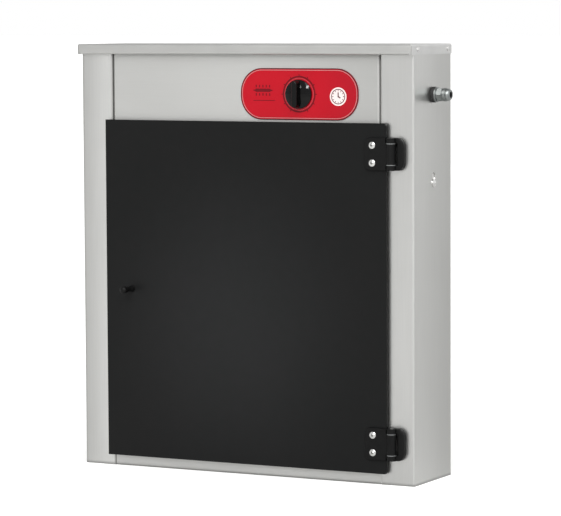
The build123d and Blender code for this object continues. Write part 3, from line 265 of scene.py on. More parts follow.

# the case is one steel given a tone of its own on each sheet: lit and shaded copies, painted to how light
# falls on each
finishes = {
    # the satin sheet on the back and behind the open joints
    "satinSteelUpright": {"colours": ("C3C3C1", "CCCCCA"), "roughness": (0.34, 0.44), **uprightLines},
    # on the left side: a lighter, lit copy of the steel, with painted shade on its post from the door's edge
    # out to the corner, most of all on its folds, and at its foot
    "satinSteelLeft": {"colours": ("D5D5D3", "DEDEDC"), "roughness": (0.34, 0.44), **uprightLines,
                       "zones": [{"at": (-260, 0, 0), "reach": (44, far, far), "from": 1.0, "to": 0.0,
                                  "colours": ("BEBEBC", "C7C7C5")},
                                 {"at": (-260, 0, 0), "reach": (5, far, far), "from": 1.0, "to": 0.0,
                                  "colours": ("9E9E9C", "A8A8A6")},
                                 {"at": (-210, 0, 0), "reach": (3.2, far, far), "from": 1.0, "to": 0.4,
                                  "colours": ("9E9E9C", "A8A8A6")}, paintedFootShade]},
    # on the right side: painted shade darkens it towards its back edge and at its foot
    "satinSteelRight": {"colours": ("C8C8C6", "D0D0CE"), "roughness": (0.30, 0.37), **uprightLines,
                        "zones": [{"at": (0, -61, 0), "reach": (far, 122, far), "from": 0.0, "to": 1.0,
                                   "colours": ("B6B6B4", "BFBFBD")}, paintedFootShade]},
    # on the other sheets of the case, with the lines running across, and painted shade at their foot
    "satinSteelAcross": {"colours": ("C3C3C1", "CCCCCA"), "roughness": (0.44, 0.54), **acrossLines,
                         "zones": [paintedFootShade]},
    # behind the red panel: ground coarser, so its shine is duller, and painted shade makes it a little darker
    # towards its right end
    "satinSteelFascia": {"colours": ("BFBFBD", "C8C8C6"), "roughness": (0.58, 0.68), **acrossLines,
                         "zones": [{"at": (260, 0, 0), "reach": (230, far, far), "from": 1.0, "to": 0.15,
                                    "colours": ("B1B1AF", "BABAB8")}]},
    # on the cover: a darker, shaded copy, with painted shade on the front rim and painted light that
    # brightens the folded sides
    "satinSteelCover": {"colours": ("BBBBB9", "C4C4C2"), "roughness": (0.40, 0.54), **acrossLines,
                        "cloud": (60, 25, 25),
                        "zones": [{"at": (0, 0, 0), "reach": (260, far, far), "from": 0.995, "to": 1.0,
                                   "colours": ("C9C9C8", "D9D9D8")}]},
    # a weld ground flush with a coarse disc: duller than the sheet beside it, and greyer with painted shade
    # that stands in for the corner's seam and hides its highlight
    "groundWeldSeamShade": {"colours": ("A2A2A0", "B0B0AE"), "metallic": 1.0, "roughness": (0.50, 0.62),
                   "grain": (0.8, 0.8, 4), "cloud": (6, 6, 6), "relief": 0.006},
    # bright turned stainless: clean mirror-like heads with only fine handling marks
    "turnedStainless": {"colours": ("D2D2D0", "DEDEDC"), "metallic": 1.0, "roughness": (0.12, 0.22),
                        "grain": (0.5, 0.5, 0.5), "cloud": (6, 6, 6), "relief": 0.002},
    # the same steel inside a socket, broached, with a dull shine, and grey with painted shade of the recess
    "broachedSocketShaded": {"colours": ("7C7C7A", "8C8C8A"), "metallic": 1.0, "roughness": (0.35, 0.5),
                       "grain": (0.4, 0.4, 0.4), "cloud": (2, 2, 2), "relief": 0.004},
    # electroplated zinc on steel: bluish, slightly cloudy
    "zincPlate": {"colours": ("A4A9AE", "BCC0C2"), "metallic": 1.0, "roughness": (0.28, 0.42),
                  "grain": (0.8, 0.8, 0.8), "cloud": (9, 9, 9), "relief": 0.004},
    # cast acrylic, dark smoked: nearly black, a soft even sheen, a painted sheen that lightens the middle,
    # and painted shade on the cut edge at the hinges
    "smokedAcrylic": {"colours": ("131414", "161616"), "roughness": (0.32, 0.38),
                      "grain": (14, 14, 14), "cloud": (140, 140, 140), "relief": 0.004,
                      "zones": [{"at": (-15, -66, 215), "reach": (230, 400, 270), "from": 1.0, "to": 0.0,
                                 "colours": ("1F2020", "222223")},
                                {"at": (222, 0, 0), "reach": (0.4, far, far), "from": 1.0, "to": 0.6,
                                 "colours": ("0A0A0A", "0C0C0C")}],
                      "shader": {"Specular IOR Level": 0.12}},
    # glass-filled nylon, injection moulded: black with a fine matt grain
    "filledNylon": {"colours": ("0B0B0B", "121212"), "roughness": (0.40, 0.52),
                    "grain": (0.7, 0.7, 0.7), "cloud": (12, 12, 12), "relief": 0.015,
                    "shader": {"Specular IOR Level": 0.13}},
    # phenolic moulding, polished in the tool: deep glossy black
    "polishedPhenolic": {"colours": ("050505", "080808"), "roughness": (0.04, 0.07),
                         "grain": (2.5, 2.5, 2.5), "cloud": (15, 15, 15), "relief": 0.001,
                         "shader": {"Specular IOR Level": 0.2}},
    # polycarbonate film printed red on its back, with a fine velvet texture on its face: painted shade makes
    # it a deeper red towards its right end
    "redFilm": {"colours": ("A80519", "B0081D"), "roughness": (0.30, 0.38),
                "grain": (0.8, 0.8, 0.8), "cloud": (50, 50, 50), "relief": 0.003,
                "zones": [{"at": (177.5, 0, 530), "reach": (70, far, far), "from": 1.0, "to": 0.0,
                           "colours": ("9A0519", "A2081D")}],
                "shader": {"Specular IOR Level": 0.2}},
    # nitrile rubber: dull black with a slight bloom
    "nitrileRubber": {"colours": ("161616", "242424"), "roughness": (0.6, 0.8),
                      "grain": (0.6, 0.6, 0.6), "cloud": (5, 5, 5), "relief": 0.02},
    # acetal, turned: waxy light grey
    "greyAcetal": {"colours": ("727474", "828484"), "roughness": (0.35, 0.45),
                   "grain": (0.6, 0.6, 0.6), "cloud": (4, 4, 4), "relief": 0.004},
    # brass under dulled nickel plate: grey, faintly green, with soft smears
    "dulledNickel": {"colours": ("808484", "9C9F9E"), "metallic": 1.0, "roughness": (0.26, 0.40),
                     "grain": (0.7, 0.7, 0.7), "cloud": (7, 7, 7), "relief": 0.004},
    # soft clear glass of a germicidal tube: clean, thin, faintly green
    "clearGlass": {"colours": ("F4FAF7", "FFFFFF"), "roughness": (0.0, 0.03),
                   "grain": (20, 20, 20), "cloud": (60, 60, 60), "relief": 0.001,
                   "shader": {"Transmission Weight": 1.0, "IOR": 1.47}},
    # pressed aluminium end caps: soft matt silver
    "pressedAluminium": {"colours": ("C6C8CA", "D6D8D9"), "metallic": 1.0, "roughness": (0.30, 0.42),
                         "grain": (0.6, 0.6, 0.6), "cloud": (8, 8, 8), "relief": 0.006},
    # bright rolled aluminium reflector: rolling lines along the lamp
    "rolledAluminium": {"colours": ("DADCDD", "E8E9EA"), "metallic": 1.0, "roughness": (0.14, 0.22),
                        "grain": (70, 1.2, 1.2), "cloud": (120, 40, 40), "relief": 0.003},
    # brass contacts, a little tarnished
    "dullBrass": {"colours": ("A88A48", "C4A55C"), "metallic": 1.0, "roughness": (0.22, 0.38),
                  "grain": (0.6, 0.6, 0.6), "cloud": (3, 3, 3), "relief": 0.003},
    # white thermoplastic mouldings: slightly warm, half matt
    "whitePolyester": {"colours": ("D8D7D0", "E4E3DD"), "roughness": (0.32, 0.46),
                       "grain": (0.8, 0.8, 0.8), "cloud": (14, 14, 14), "relief": 0.008},
    # sintered ferrite: dark, dry and finely pitted
    "sinteredFerrite": {"colours": ("262727", "3A3B3C"), "roughness": (0.5, 0.7),
                        "grain": (0.4, 0.4, 0.4), "cloud": (4, 4, 4), "relief": 0.02},
    # lacquered steel laminations of the choke: off-white paint with a light orange peel
    "lacqueredSteel": {"colours": ("C9CAC4", "D8D9D3"), "roughness": (0.28, 0.4),
                       "grain": (2.2, 2.2, 2.2), "cloud": (25, 25, 25), "relief": 0.02},
    # the four inks on the film
    "paleInk": {"colours": ("B27678", "BE8586"), **screenInk},
    "whiteInk": {"colours": ("E0CFCD", "E8D8D6"), **screenInk},
    "darkInk": {"colours": ("3A1418", "451A1E"), **screenInk},
    "deepRedInk": {"colours": ("5E0310", "6C0514"), **screenInk},
    # drawn tungsten with its pale emitter coating
    "coatedTungsten": {"colours": ("8E8C86", "B8B6AE"), "metallic": 0.4, "roughness": (0.4, 0.6),
                       "grain": (0.3, 0.3, 0.3), "cloud": (1.5, 1.5, 1.5), "relief": 0.004},
}
materials = {name: makeMaterial(name, p) for name, p in finishes.items()}
print(len(materials), "materials made")

slotFinish = {
    "stainless_case": "satinSteelAcross", "bright_fixings": "turnedStainless", "zinc_steel": "zincPlate",
    "smoked_door": "smokedAcrylic", "black_hinge": "filledNylon", "black_knob": "polishedPhenolic",
    "red_label": "redFilm", "black_rubber": "nitrileRubber", "grey_washer": "greyAcetal",
    "gland_metal": "dulledNickel", "lamp_glass": "clearGlass", "lamp_aluminium": "pressedAluminium",
    "reflector_aluminium": "rolledAluminium", "brass_contacts": "dullBrass",
    "white_plastic": "whitePolyester", "dark_magnet": "sinteredFerrite", "painted_choke": "lacqueredSteel",
}
nodeFinish = {
    "rack_bracket_left": "turnedStainless", "rack_bracket_right": "turnedStainless",
    "left_side_panel": "satinSteelLeft", "right_side_panel": "satinSteelRight",
    "back_panel": "satinSteelUpright", "fascia_panel": "satinSteelFascia", "top_cover": "satinSteelCover",
}
for row in frame["record"]["subparts"]:
    finish = nodeFinish.get(row["node"], slotFinish[row["material_slot"]])
    for materialSlot in nodes[row["node"]].material_slots:
        materialSlot.material = materials[finish]
print("nodes dressed")


# Floor: matt paper, lifted to white where the camera sees it. What the steel mirrors of it is lighter
# in front of the cabinet than behind it.

floorPaper = {
    "half": 60.0,                  # metres from the cabinet to an edge
    "seen": "F6F6F5",              # by the camera
    "behind": "D0D0CF",
    "ahead": "E6E6E5",
    "fade": (-0.6, 0.4),           # metres towards the front left where it leaves one and reaches the other
    "lift": 0.2,
    "roughness": 0.9,
    "specular": 0.1,
}


def paperMaterial(p):
    material = bpy.data.materials.new("studioPaper")
    tree = newTree(material)
    seen = addNode(tree, "ShaderNodeLightPath", {}).outputs["Is Camera Ray"]
    place = addNode(tree, "ShaderNodeTexCoord", {}).outputs["Object"]
    along = addNode(tree, "ShaderNodeVectorMath", {0: place, 1: studio["towards"]}, operation="DOT_PRODUCT")
    start, end = p["fade"]
    ahead = addNode(tree, "ShaderNodeMapRange",
                    {"Value": along.outputs["Value"], "From Min": start, "From Max": end},
                    interpolation_type="SMOOTHSTEP").outputs[0]
    colour = mixColours(tree, seen, mixColours(tree, ahead, p["behind"], p["ahead"]), p["seen"])
    lift = addNode(tree, "ShaderNodeMath", {0: seen, 1: p["lift"]}, operation="MULTIPLY").outputs[0]
    paper = addNode(tree, "ShaderNodeBsdfPrincipled",
                    {"Base Color": colour, "Roughness": p["roughness"], "Specular IOR Level": p["specular"],
                     "Emission Color": hexColour("FFFFFF"), "Emission Strength": lift})
    addNode(tree, "ShaderNodeOutputMaterial", {"Surface": paper.outputs[0]})
    return material


def layFloor(p):
    bm = bmesh.new()
    bmesh.ops.create_grid(bm, x_segments=1, y_segments=1, size=p["half"])
    mesh = bpy.data.meshes.new("studioFloor")
    bm.to_mesh(mesh)
    bm.free()
    mesh.materials.append(paperMaterial(p))
    paper = bpy.data.objects.new("studioFloor", mesh)
    scene.collection.objects.link(paper)


layFloor(floorPaper)
print("floor laid")


# Pieces of the object

meshing = {
    "merge": 0.002,                # points closer than this become one
    "sharp": radians(32),          # edges from this angle on stay sharp
}


def finishPiece(bm, name, finish, body, second=None):
    bmesh.ops.remove_doubles(bm, verts=bm.verts, dist=meshing["merge"] * mm)
    bmesh.ops.recalc_face_normals(bm, faces=bm.faces)
    for face in bm.faces:
        face.smooth = True
    for edge in bm.edges:
        edge.smooth = edge.calc_face_angle(0) < meshing["sharp"]
    mesh = bpy.data.meshes.new(name)
    bm.to_mesh(mesh)
    bm.free()
    for each in (finish, second) if second else (finish,):
        mesh.materials.append(materials[each])
    piece = bpy.data.objects.new(name, mesh)
    scene.collection.objects.link(piece)
    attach(piece, body)
    print(name, "made with", len(mesh.polygons), "faces")
    return piece


def middleOf(low, high):
    return [(start + end) / 2 for start, end in zip(low, high)]


def spinProfile(bm, points, steps):  # (radius, height) points in millimetres, spun round Z
    verts = [bm.verts.new((r * mm, 0, z * mm)) for r, z in points]
    edges = [bm.edges.new(pair) for pair in zip(verts, verts[1:])]
    bmesh.ops.spin(bm, geom=verts + edges, cent=(0, 0, 0), axis=(0, 0, 1), angle=2 * pi, steps=steps,
                   use_merge=True, use_duplicate=False)
    bmesh.ops.remove_doubles(bm, verts=bm.verts, dist=meshing["merge"] * mm)


def laySpun(bm, axis, place):  # tips a spun shape a quarter turn about an axis, and moves it to its place
    bmesh.ops.rotate(bm, verts=bm.verts, cent=(0, 0, 0), matrix=Matrix.Rotation(pi / 2, 3, axis))
    bmesh.ops.translate(bm, verts=bm.verts, vec=place)


def toHexagon(verts, flat, lean):  # moves a round ring onto a hexagon, leant along Z as a chamfer cuts it
    for vert in verts:
        turn = (atan2(vert.co.y, vert.co.x) + pi / 6) % (pi / 3) - pi / 6
        reach = flat * mm / cos(turn)
        vert.co.z += (reach - flat * mm) * lean
        vert.co.xy = vert.co.xy.normalized() * reach


def domePoints(radius, rise, inner, steps):  # from the rim in to the inner radius, on one round crown
    crown = (radius ** 2 + rise ** 2) / (2 * rise)
    radii = [radius + (inner - radius) * i / steps for i in range(steps + 1)]
    return [(r, (crown ** 2 - r ** 2) ** 0.5 - (crown - rise)) for r in radii]


def addTo(bm, other):  # joins a finished mesh to a bigger one
    mesh = bpy.data.meshes.new("part")
    other.to_mesh(mesh)
    other.free()
    bm.from_mesh(mesh)
    bpy.data.meshes.remove(mesh)


# Hinge screws: domed heads with a hexagon socket, through the leaf and the door

hingeScrew = {
    "headRadius": 4.7,
    "seat": 3.0,             # from the front of the source's head to the leaf
    "headRim": 0.7,          # straight side of the head
    "headRise": 2.2,         # height of the whole head
    "shankRadius": 2.5,
    "socketFlat": 1.6,       # from the middle to a flat
    "socketMouth": 1.12,     # the dome's opening, in times the hexagon's corner
    "socketDepth": 0.6,
    "pitch": 24,             # between the two screws of a hinge
    "hingeHeight": 44,
    "domeSteps": 5,
    "steps": 48,
}


def socketScrew(bm, p, length):
    mouth = p["socketFlat"] / cos(pi / 6) * p["socketMouth"]
    dome = domePoints(p["headRadius"], p["headRise"] - p["headRim"], mouth, p["domeSteps"])
    points = [(0, -length), (p["shankRadius"], -length), (p["shankRadius"], 0), (p["headRadius"], 0)]
    points += [(r, z + p["headRim"]) for r, z in dome]
    spinProfile(bm, points, p["steps"])
    for drop in (0, p["socketDepth"]):  # the round mouth becomes a hexagon, then goes down to the floor
        rim = [edge for edge in bm.edges if edge.is_boundary and edge.verts[0].co.z > 0]
        wall = bmesh.ops.extrude_edge_only(bm, edges=rim)["geom"]
        ring = [item for item in wall if isinstance(item, bmesh.types.BMVert)]
        toHexagon(ring, p["socketFlat"], 0)
        for vert in ring:
            vert.co.z = (p["headRise"] - drop) * mm
    floor = bmesh.ops.holes_fill(bm, edges=[edge for edge in bm.edges if edge.is_boundary])["faces"]
    # the socket's walls and floor take the second material, darkened with painted shade of the recess
    for face in [face for face in wall if isinstance(face, bmesh.types.BMFace)] + floor:
        face.material_index = 1


def makeHingeScrews(p):
    screwLow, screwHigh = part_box("hinge_door_screws")
    leafLow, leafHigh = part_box("hinge_door_leaves")
    middle = middleOf(screwLow, screwHigh)
    seat = screwLow.y + p["seat"] * mm
    half = p["hingeHeight"] * mm / 2
    bm = bmesh.new()
    for hingeZ in (leafLow.z + half, leafHigh.z - half):
        for side in (-1, 1):
            one = bmesh.new()
            socketScrew(one, p, (screwHigh.y - seat) / mm)
            laySpun(one, "X", (middle[0], seat, hingeZ + side * p["pitch"] / 2 * mm))
            addTo(bm, one)
    piece = finishPiece(bm, "hingeScrews", "turnedStainless", "door", "broachedSocketShaded")
    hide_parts("hinge_door_screws")


makeHingeScrews(hingeScrew)


# Door pull: slim turned moulding with a waist and a domed end

doorPull = {
    "base": (4.7, 1.4),            # radius and edge
    "waist": (3.2, 10.0),          # radius, and how far it is from the door
    "head": (4.9, 20.5, 25.8),     # radius, and where its straight rim starts and ends
    "curveSteps": 10,
    "steps": 40,
}


def easedSlope(start, end, steps):  # (radius, height) points on a slope that starts and ends straight
    return [(start[0] + (end[0] - start[0]) * (1 - cos(pi * i / steps)) / 2,
             start[1] + (end[1] - start[1]) * i / steps) for i in range(1, steps + 1)]


def makePull(p):
    low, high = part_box("door_pull")
    middle = middleOf(low, high)
    headRadius, rimStart, rimEnd = p["head"]
    length = (high.y - low.y) / mm
    points = [(0, 0), (p["base"][0], 0), p["base"]]
    points += easedSlope(p["base"], p["waist"], p["curveSteps"])
    points += easedSlope(p["waist"], (headRadius, rimStart), p["curveSteps"])
    points += [(r, z + rimEnd) for r, z in domePoints(headRadius, length - rimEnd, 0, p["curveSteps"])]
    bm = bmesh.new()
    spinProfile(bm, points, p["steps"])
    laySpun(bm, "X", (middle[0], high.y, middle[2]))
    piece = finishPiece(bm, "doorPull", "filledNylon", "door")
    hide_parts("door_pull")


makePull(doorPull)


# Strips behind the open joints of the case, and ground welds that close the front corners of its cover

caseJoints = {
    # each strip runs from "inner" to "outer", out from the post's edge, and lies "depth" behind the front
    "groove": {"inner": -1.75, "outer": -0.05, "depth": 5.0, "thickness": 1.2, "foot": 0.0},  # by the fascia
    # by the bottom rail: open at the left, and at the right sunk in the fold, where no joint shows
    "railLeft": {"inner": -4.75, "outer": -0.05, "depth": 1.25, "thickness": 1.0, "foot": 1.3},
    "railRight": {"inner": -4.75, "outer": 1.3, "depth": 0.3, "thickness": 0.8, "foot": 1.3},
    "weld": {"reach": 5.0, "inset": 0.1, "round": 2.6, "segments": 5},
}


def addBar(bm, low, high):  # a bar between two corners
    made = bmesh.ops.create_cube(bm, size=1.0)["verts"]
    bmesh.ops.scale(bm, verts=made, vec=high - low)
    bmesh.ops.translate(bm, verts=made, vec=(low + high) / 2)


def cornerWeld(p, low, high):  # bar at the right front corner of the cover, rounded as the folds beside it
    bm = bmesh.new()
    inset, reach = p["inset"] * mm, p["reach"] * mm
    addBar(bm, Vector((high.x - reach, low.y + inset, low.z + inset)),
           Vector((high.x - inset, low.y + reach, high.z - inset)))
    outer = {vert for vert in bm.verts if vert.co.x > high.x - reach / 2 and vert.co.y < low.y + reach / 2}
    top = {vert for vert in bm.verts if vert.co.z > high.z - reach}
    edges = [edge for edge in bm.edges if set(edge.verts) <= outer or
             set(edge.verts) <= top and outer & set(edge.verts)]
    bmesh.ops.bevel(bm, geom=edges, offset=p["round"] * mm, affect="EDGES", segments=p["segments"],
                    profile=0.5, material=-1)
    return bm


def closeJoints(p):
    railLow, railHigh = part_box("bottom_pan")
    fasciaLow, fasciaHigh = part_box("fascia_panel")
    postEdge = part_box("right_side_panel")[0].x
    strips, welds = bmesh.new(), bmesh.new()
    for side in (-1, 1):
        rail = p["railLeft"] if side < 0 else p["railRight"]
        for joint, foot, top in ((p["groove"], fasciaLow.z, fasciaHigh.z), (rail, railLow.z, railHigh.z)):
            front, back = [fasciaLow.y + (joint["depth"] + thick) * mm for thick in (0, joint["thickness"])]
            left, right = sorted(side * (postEdge + joint[end] * mm) for end in ("inner", "outer"))
            addBar(strips, Vector((left, front, foot + joint["foot"] * mm)), Vector((right, back, top)))
        weld = cornerWeld(p["weld"], *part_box("top_cover"))
        bmesh.ops.scale(weld, verts=weld.verts, vec=(side, 1, 1))
        addTo(welds, weld)
    finishPiece(strips, "jointStrips", "satinSteelUpright", "cabinet")
    # the welds are greyed with painted shade of the corner seam
    finishPiece(welds, "cornerWelds", "groundWeldSeamShade", "cabinet")


closeJoints(caseJoints)


# Lamp coils: one inside each end, between two stiff leads that stand on a glass stem

lampCoil = {
    "inFromCap": 13.0,             # coil's axis to the cap's inner end
    "capLength": 16.0,
    "length": 11.0,
    "radius": 1.0,
    "wire": 0.22,                  # radius of the wire
    "wireSides": 6,
    "turns": 12,
    "stepsPerTurn": 12,
    "lead": 0.32,                  # radius of a lead
    "leadSides": 10,
    "leadOverlap": 0.8,            # how far a lead runs past the coil's axis
    "stem": ((0.0, 0.0), (5.2, 0.0), (3.4, 2.5), (2.6, 6.0), (2.4, 7.2), (0.0, 7.6)),  # radii and heights
    "stemSteps": 24,
}


def windCoil(bm, p):  # a helix round Z, from below to above the origin
    wire = bmesh.ops.create_circle(bm, segments=p["wireSides"], radius=p["wire"] * mm,
                                   matrix=Matrix.Rotation(pi / 2, 4, "X"))
    bmesh.ops.translate(bm, verts=wire["verts"], vec=(p["radius"] * mm, 0, -p["length"] / 2 * mm))
    edges = list({edge for vert in wire["verts"] for edge in vert.link_edges})
    steps = p["turns"] * p["stepsPerTurn"]
    bmesh.ops.spin(bm, geom=wire["verts"] + edges, cent=(0, 0, 0), axis=(0, 0, 1), angle=2 * pi * p["turns"],
                   dvec=(0, 0, p["length"] * mm / steps), steps=steps, use_merge=False, use_duplicate=False)
    bmesh.ops.holes_fill(bm, edges=[edge for edge in bm.edges if edge.is_boundary])


def makeLampCoils(p):
    low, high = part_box("lamp_caps")
    capEnd = high.x / mm - p["capLength"]
    axis = (0, *middleOf(low, high)[1:])
    reach = p["inFromCap"] + p["leadOverlap"]
    coils, stems = bmesh.new(), bmesh.new()
    for side in (-1, 1):
        place = Matrix.Translation(axis) @ Matrix.Scale(side, 4, (1, 0, 0))
        one = bmesh.new()
        windCoil(one, p)
        bmesh.ops.translate(one, verts=one.verts, vec=((capEnd - p["inFromCap"]) * mm, 0, 0))
        for end in (-1, 1):
            middle = Matrix.Translation(((capEnd - reach / 2) * mm, 0, end * p["length"] / 2 * mm))
            bmesh.ops.create_cone(one, cap_ends=True, segments=p["leadSides"], depth=reach * mm,
                                  radius1=p["lead"] * mm, radius2=p["lead"] * mm,
                                  matrix=middle @ Matrix.Rotation(pi / 2, 4, "Y"))
        bmesh.ops.transform(one, verts=one.verts, matrix=place)
        addTo(coils, one)
        stem = bmesh.new()
        spinProfile(stem, p["stem"], p["stemSteps"])
        bmesh.ops.transform(stem, verts=stem.verts, matrix=place @ Matrix.Translation((capEnd * mm, 0, 0))
                            @ Matrix.Rotation(-pi / 2, 4, "Y"))
        addTo(stems, stem)
    finishPiece(coils, "lampCoils", "coatedTungsten", "lamp")
    finishPiece(stems, "lampStems", "clearGlass", "lamp")


makeLampCoils(lampCoil)


# Cable gland: rubber collar on the wall, body with its thread, cap nut with a flange and a ringed dome

gland = {
    "bore": 5.65,
    "threadRadius": 8.0,
    "threadDepth": 0.6,
    "threadPitch": 1.5,
    "threadRings": 5,
    "neck": 7.4,
    "neckPlay": 0.05,                # between the neck and the cap nut
    "collar": (10.8, 0.9),           # radius and the rounding of its edges
    "flange": (10.3, 2.4),           # radius and length
    "hexagon": (8.75, 8.2),          # from the middle to a flat, and length
    "ring": (9.2, 4.0),              # radius and length of the ring behind the dome
    "groove": (8.2, 0.6),            # radius and width of the grooves between them
    "chamfer": 0.4,
    "domeBulge": 0.9,
    "domeSteps": 8,
    "tip": (6.8, 6.3),               # radius at the end of the dome, and of the flat round its mouth
    "mouth": (4.4, 0.8),             # radius, and thickness of the metal there
    "seat": 11.0,                    # depth of the neck in the cap nut
    "lipRound": 0.5,
    "sameHeight": 0.01,              # points this close in height are one ring
    "steps": 48,
}


def turnedRing(z, radius, length, chamfer):  # outline of a ring with chamfered edges, from z on
    return [(radius - chamfer, z), (radius, z + chamfer),
            (radius, z + length - chamfer), (radius - chamfer, z + length)]


def glandThread(p):  # turned grooves in place of the thread's helix, which stays inside the cabinet
    points = []
    for i in range(p["threadRings"]):
        z = (i - p["threadRings"]) * p["threadPitch"]
        points += [(p["threadRadius"] - p["threadDepth"], z), (p["threadRadius"], z + p["threadPitch"] / 2)]
    return points


def glandPiece(points, x, name, finish, p, hexagonAt=()):  # spun, and laid on the gland's axis
    bm = bmesh.new()
    spinProfile(bm, points, p["steps"])
    for z, lean in hexagonAt:
        ring = [vert for vert in bm.verts if abs(vert.co.z - z * mm) < p["sameHeight"] * mm]
        toHexagon(ring, p["hexagon"][0], lean)
    laySpun(bm, "Y", (x, *middleOf(*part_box("gland_body"))[1:]))
    return finishPiece(bm, name, finish, "cabinet")


def makeGland(p):
    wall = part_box("right_side_panel")[1].x
    capLow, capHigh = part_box("gland_dome_nut")
    inward = (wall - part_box("gland_body")[0].x) / mm
    collar = (capLow.x - wall) / mm
    root = p["threadRadius"] - p["threadDepth"]
    bore, neck, seat = p["bore"], p["neck"], p["seat"]
    collarRadius, collarRound = p["collar"]

    points = [(root, 0)] + turnedRing(0, collarRadius, collar, collarRound) + [(root, collar), (root, 0)]
    glandPiece(points, wall, "glandCollar", "nitrileRubber", p)

    points = [(bore, -inward), (root, -inward)] + glandThread(p)
    points += [(root, 0), (root, collar), (neck, collar), (neck, collar + seat), (bore, collar + seat),
               (bore, -inward)]
    body = glandPiece(points, wall, "glandBody", "dulledNickel", p)
    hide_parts("gland_body")

    length = (capHigh.x - capLow.x) / mm
    grooveRadius, groove = p["groove"]
    flat, hexagonLength = p["hexagon"]
    ringRadius, ringLength = p["ring"]
    hexagonStart = p["flange"][1] + groove
    hexagonEnd = hexagonStart + hexagonLength
    domeStart = hexagonEnd + 2 * groove + ringLength
    domeEnd = length - p["lipRound"]
    tip, flatRadius = p["tip"]
    mouth, lip = p["mouth"]
    inside = neck + p["neckPlay"]
    points = [(inside, 0)] + turnedRing(0, *p["flange"], p["chamfer"])
    for z in (p["flange"][1], hexagonEnd, domeStart - groove):
        points += [(grooveRadius, z), (grooveRadius, z + groove)]
        if z == p["flange"][1]:
            points += turnedRing(hexagonStart, flat, hexagonLength, p["chamfer"])
        elif z == hexagonEnd:
            points += turnedRing(z + groove, ringRadius, ringLength, p["chamfer"])
    for i in range(1, p["domeSteps"] + 1):  # over the bulge to the lip
        share = i / p["domeSteps"]
        bulge = 4 * share * (1 - share) * p["domeBulge"]
        radius = grooveRadius + (tip - grooveRadius) * share + bulge
        points.append((radius, domeStart + (domeEnd - domeStart) * share))
    points += [(flatRadius, length), (mouth, length), (mouth, length - lip), (bore, length - lip),
               (bore, seat), (inside, seat), (inside, 0)]
    corners = ((hexagonStart + p["chamfer"], tan(pi / 6)), (hexagonEnd - p["chamfer"], -tan(pi / 6)))
    cap = glandPiece(points, capLow.x, "glandCap", "dulledNickel", p, corners)
    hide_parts("gland_dome_nut")


makeGland(gland)


# Print on the red panel, and a dark band along its edge: a pale line that follows its rounded outline, rings
# and marks round the knob, a lamp sign with a line under it at the left, and a clock sign on a white disc at
# the right

panelPrint = {
    "cornerRadius": 33.0,
    "inkThickness": 0.06,
    "edgeBand": (0.0, 1.3),        # dark, in from the edge
    "innerLine": (2.2, 3.0),       # pale
    "cornerSteps": 96,
    "knobPaleRing": (21.7, 21.9),  # inner and outer radius
    "knobDarkRing": (23.0, 25.2),
    "marks": 11,                   # round the knob
    "markSweep": radians(300),
    "markLength": 2.4,
    "markWidth": 1.3,
    "markRadius": 24.9,
    "lampSign": {"at": (-56.0, 5.0), "tube": (25.0, 4.6), "rays": 5, "rayLength": 3.6, "rayWidth": 1.8,
                 "rayOff": 3.9, "raySpacing": 5.2, "pin": (2.4, 1.8), "steps": 32},
    "underline": {"at": (-54.0, -9.5), "size": (34.0, 0.9)},
    "clockSign": {"at": (59.7, -2.8), "radius": 12.6, "ring": (9.4, 10.5), "steps": 64,
                  "ticks": 12, "tickLength": 1.9, "tickWidth": 0.9, "tickOff": 0.4,
                  "hands": ((6.6, 1.5, 0.0), (4.8, 1.7, 120.0))},  # length, width and degrees
}


def roundedOutline(bm, halfWidth, halfHeight, radius, steps):  # a circle with its quarters moved apart, in XZ
    upright = Matrix.Rotation(pi / 2, 4, "X") @ Matrix.Rotation(pi / steps, 4, "Z")
    made = bmesh.ops.create_circle(bm, segments=steps, radius=radius, matrix=upright)
    for vert in made["verts"]:
        vert.co.x += (halfWidth - radius) * (1 if vert.co.x > 0 else -1)
        vert.co.z += (halfHeight - radius) * (1 if vert.co.z > 0 else -1)
    return list({edge for vert in made["verts"] for edge in vert.link_edges})


def inkBand(bm, size, radius, band, steps):  # flat band between two offsets of a rounded outline
    loops = []
    for inset in band:
        halfWidth, halfHeight = [side / 2 - inset * mm for side in size]
        loops += roundedOutline(bm, halfWidth, halfHeight, (radius - inset) * mm, steps)
    bmesh.ops.bridge_loops(bm, edges=loops)


def inkRing(bm, inner, outer, steps):
    inkBand(bm, (2 * outer * mm, 2 * outer * mm), outer, (0, outer - inner), steps)


def inkBar(bm, width, height, off=0, turn=0):  # upright bar whose foot is off the middle, turned about it
    upright = Matrix.Rotation(pi / 2, 4, "X")
    made = bmesh.ops.create_grid(bm, x_segments=1, y_segments=1, size=0.5, matrix=upright)["verts"]
    bmesh.ops.scale(bm, verts=made, vec=(width * mm, 1, height * mm))
    bmesh.ops.translate(bm, verts=made, vec=(0, 0, (off + height / 2) * mm))
    bmesh.ops.rotate(bm, verts=made, cent=(0, 0, 0), matrix=Matrix.Rotation(turn, 3, "Y"))
    return made


def drawLamp(p):  # a tube with a pin at each end and rays above and below
    bm = bmesh.new()
    width, height = p["tube"]
    roundedOutline(bm, width / 2 * mm, height / 2 * mm, height / 2 * mm, p["steps"])
    bmesh.ops.contextual_create(bm, geom=bm.edges[:])
    for side in (-1, 1):
        inkBar(bm, p["pin"][1], p["pin"][0], width / 2, side * pi / 2)
        for i in range(p["rays"]):
            ray = inkBar(bm, p["rayWidth"], p["rayLength"], p["rayOff"], 0 if side > 0 else pi)
            bmesh.ops.translate(bm, verts=ray, vec=((i - (p["rays"] - 1) / 2) * p["raySpacing"] * mm, 0, 0))
    return bm


def drawUnderline(p):
    bm = bmesh.new()
    inkBar(bm, *p["size"])
    return bm


def drawDisc(p):
    bm = bmesh.new()
    bmesh.ops.create_circle(bm, cap_ends=True, segments=p["steps"], radius=p["radius"] * mm,
                            matrix=Matrix.Rotation(pi / 2, 4, "X"))
    return bm


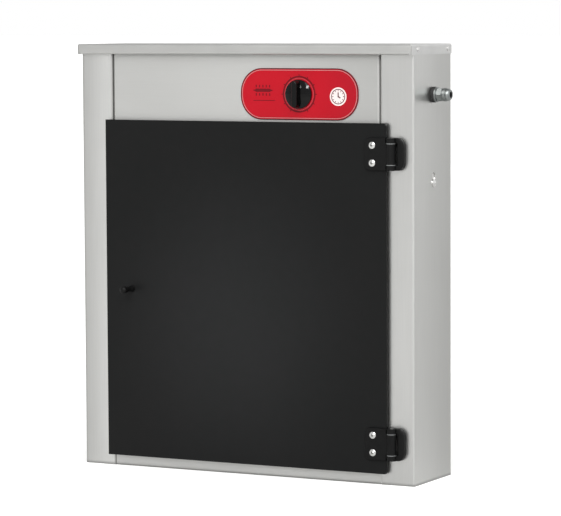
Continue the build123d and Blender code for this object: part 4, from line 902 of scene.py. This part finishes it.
def drawClock(p):  # a ring with hour ticks inside it and two hands
    bm = bmesh.new()
    inkRing(bm, *p["ring"], p["steps"])
    tickFoot = p["ring"][0] - p["tickLength"] - p["tickOff"]
    for i in range(p["ticks"]):
        inkBar(bm, p["tickWidth"], p["tickLength"], tickFoot, 2 * pi * i / p["ticks"])
    for length, width, turn in p["hands"]:
        inkBar(bm, width, length, -width / 2, radians(turn))
    return bm


def layInk(flats, name, finish, p, lift=0):  # places flat shapes on the panel's face, as thick as the ink is
    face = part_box("control_label")[0].y
    bm = bmesh.new()
    for shape, (x, z) in flats:
        bmesh.ops.translate(shape, verts=shape.verts, vec=(x, face - lift * mm, z))
        addTo(bm, shape)
    bmesh.ops.recalc_face_normals(bm, faces=bm.faces)
    thick = bmesh.ops.extrude_face_region(bm, geom=bm.faces[:])["geom"]
    bmesh.ops.translate(bm, vec=(0, -p["inkThickness"] * mm, 0),
                        verts=[item for item in thick if isinstance(item, bmesh.types.BMVert)])
    finishPiece(bm, name, finish, "cabinet")


def printPanel(p):
    low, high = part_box("control_label")
    size = (high.x - low.x, high.z - low.z)
    middle = middleOf(low, high)[::2]
    knob = middleOf(*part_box("timer_knob"))[::2]
    lampAt, lineAt, clockAt = [(middle[0] + p[sign]["at"][0] * mm, middle[1] + p[sign]["at"][1] * mm)
                               for sign in ("lampSign", "underline", "clockSign")]

    edge = bmesh.new()
    inkBand(edge, size, p["cornerRadius"], p["edgeBand"], p["cornerSteps"])
    layInk([(edge, middle)], "panelEdgeLine", "darkInk", p)

    line, ring = bmesh.new(), bmesh.new()
    inkBand(line, size, p["cornerRadius"], p["innerLine"], p["cornerSteps"])
    inkRing(ring, *p["knobPaleRing"], p["cornerSteps"])
    layInk([(line, middle), (ring, knob)], "panelPaleLines", "paleInk", p)

    dark = bmesh.new()
    inkRing(dark, *p["knobDarkRing"], p["cornerSteps"])
    for i in range(p["marks"]):
        turn = (i / (p["marks"] - 1) - 0.5) * p["markSweep"]
        inkBar(dark, p["markWidth"], p["markLength"], p["markRadius"], turn)
    signs = [(drawLamp(p["lampSign"]), lampAt), (drawUnderline(p["underline"]), lineAt)]
    layInk([(dark, knob)] + signs, "panelDeepRedMarks", "deepRedInk", p)

    layInk([(drawDisc(p["clockSign"]), clockAt)], "panelClockDisc", "whiteInk", p)
    layInk([(drawClock(p["clockSign"]), clockAt)], "panelClockSign", "darkInk", p, p["inkThickness"])


printPanel(panelPrint)
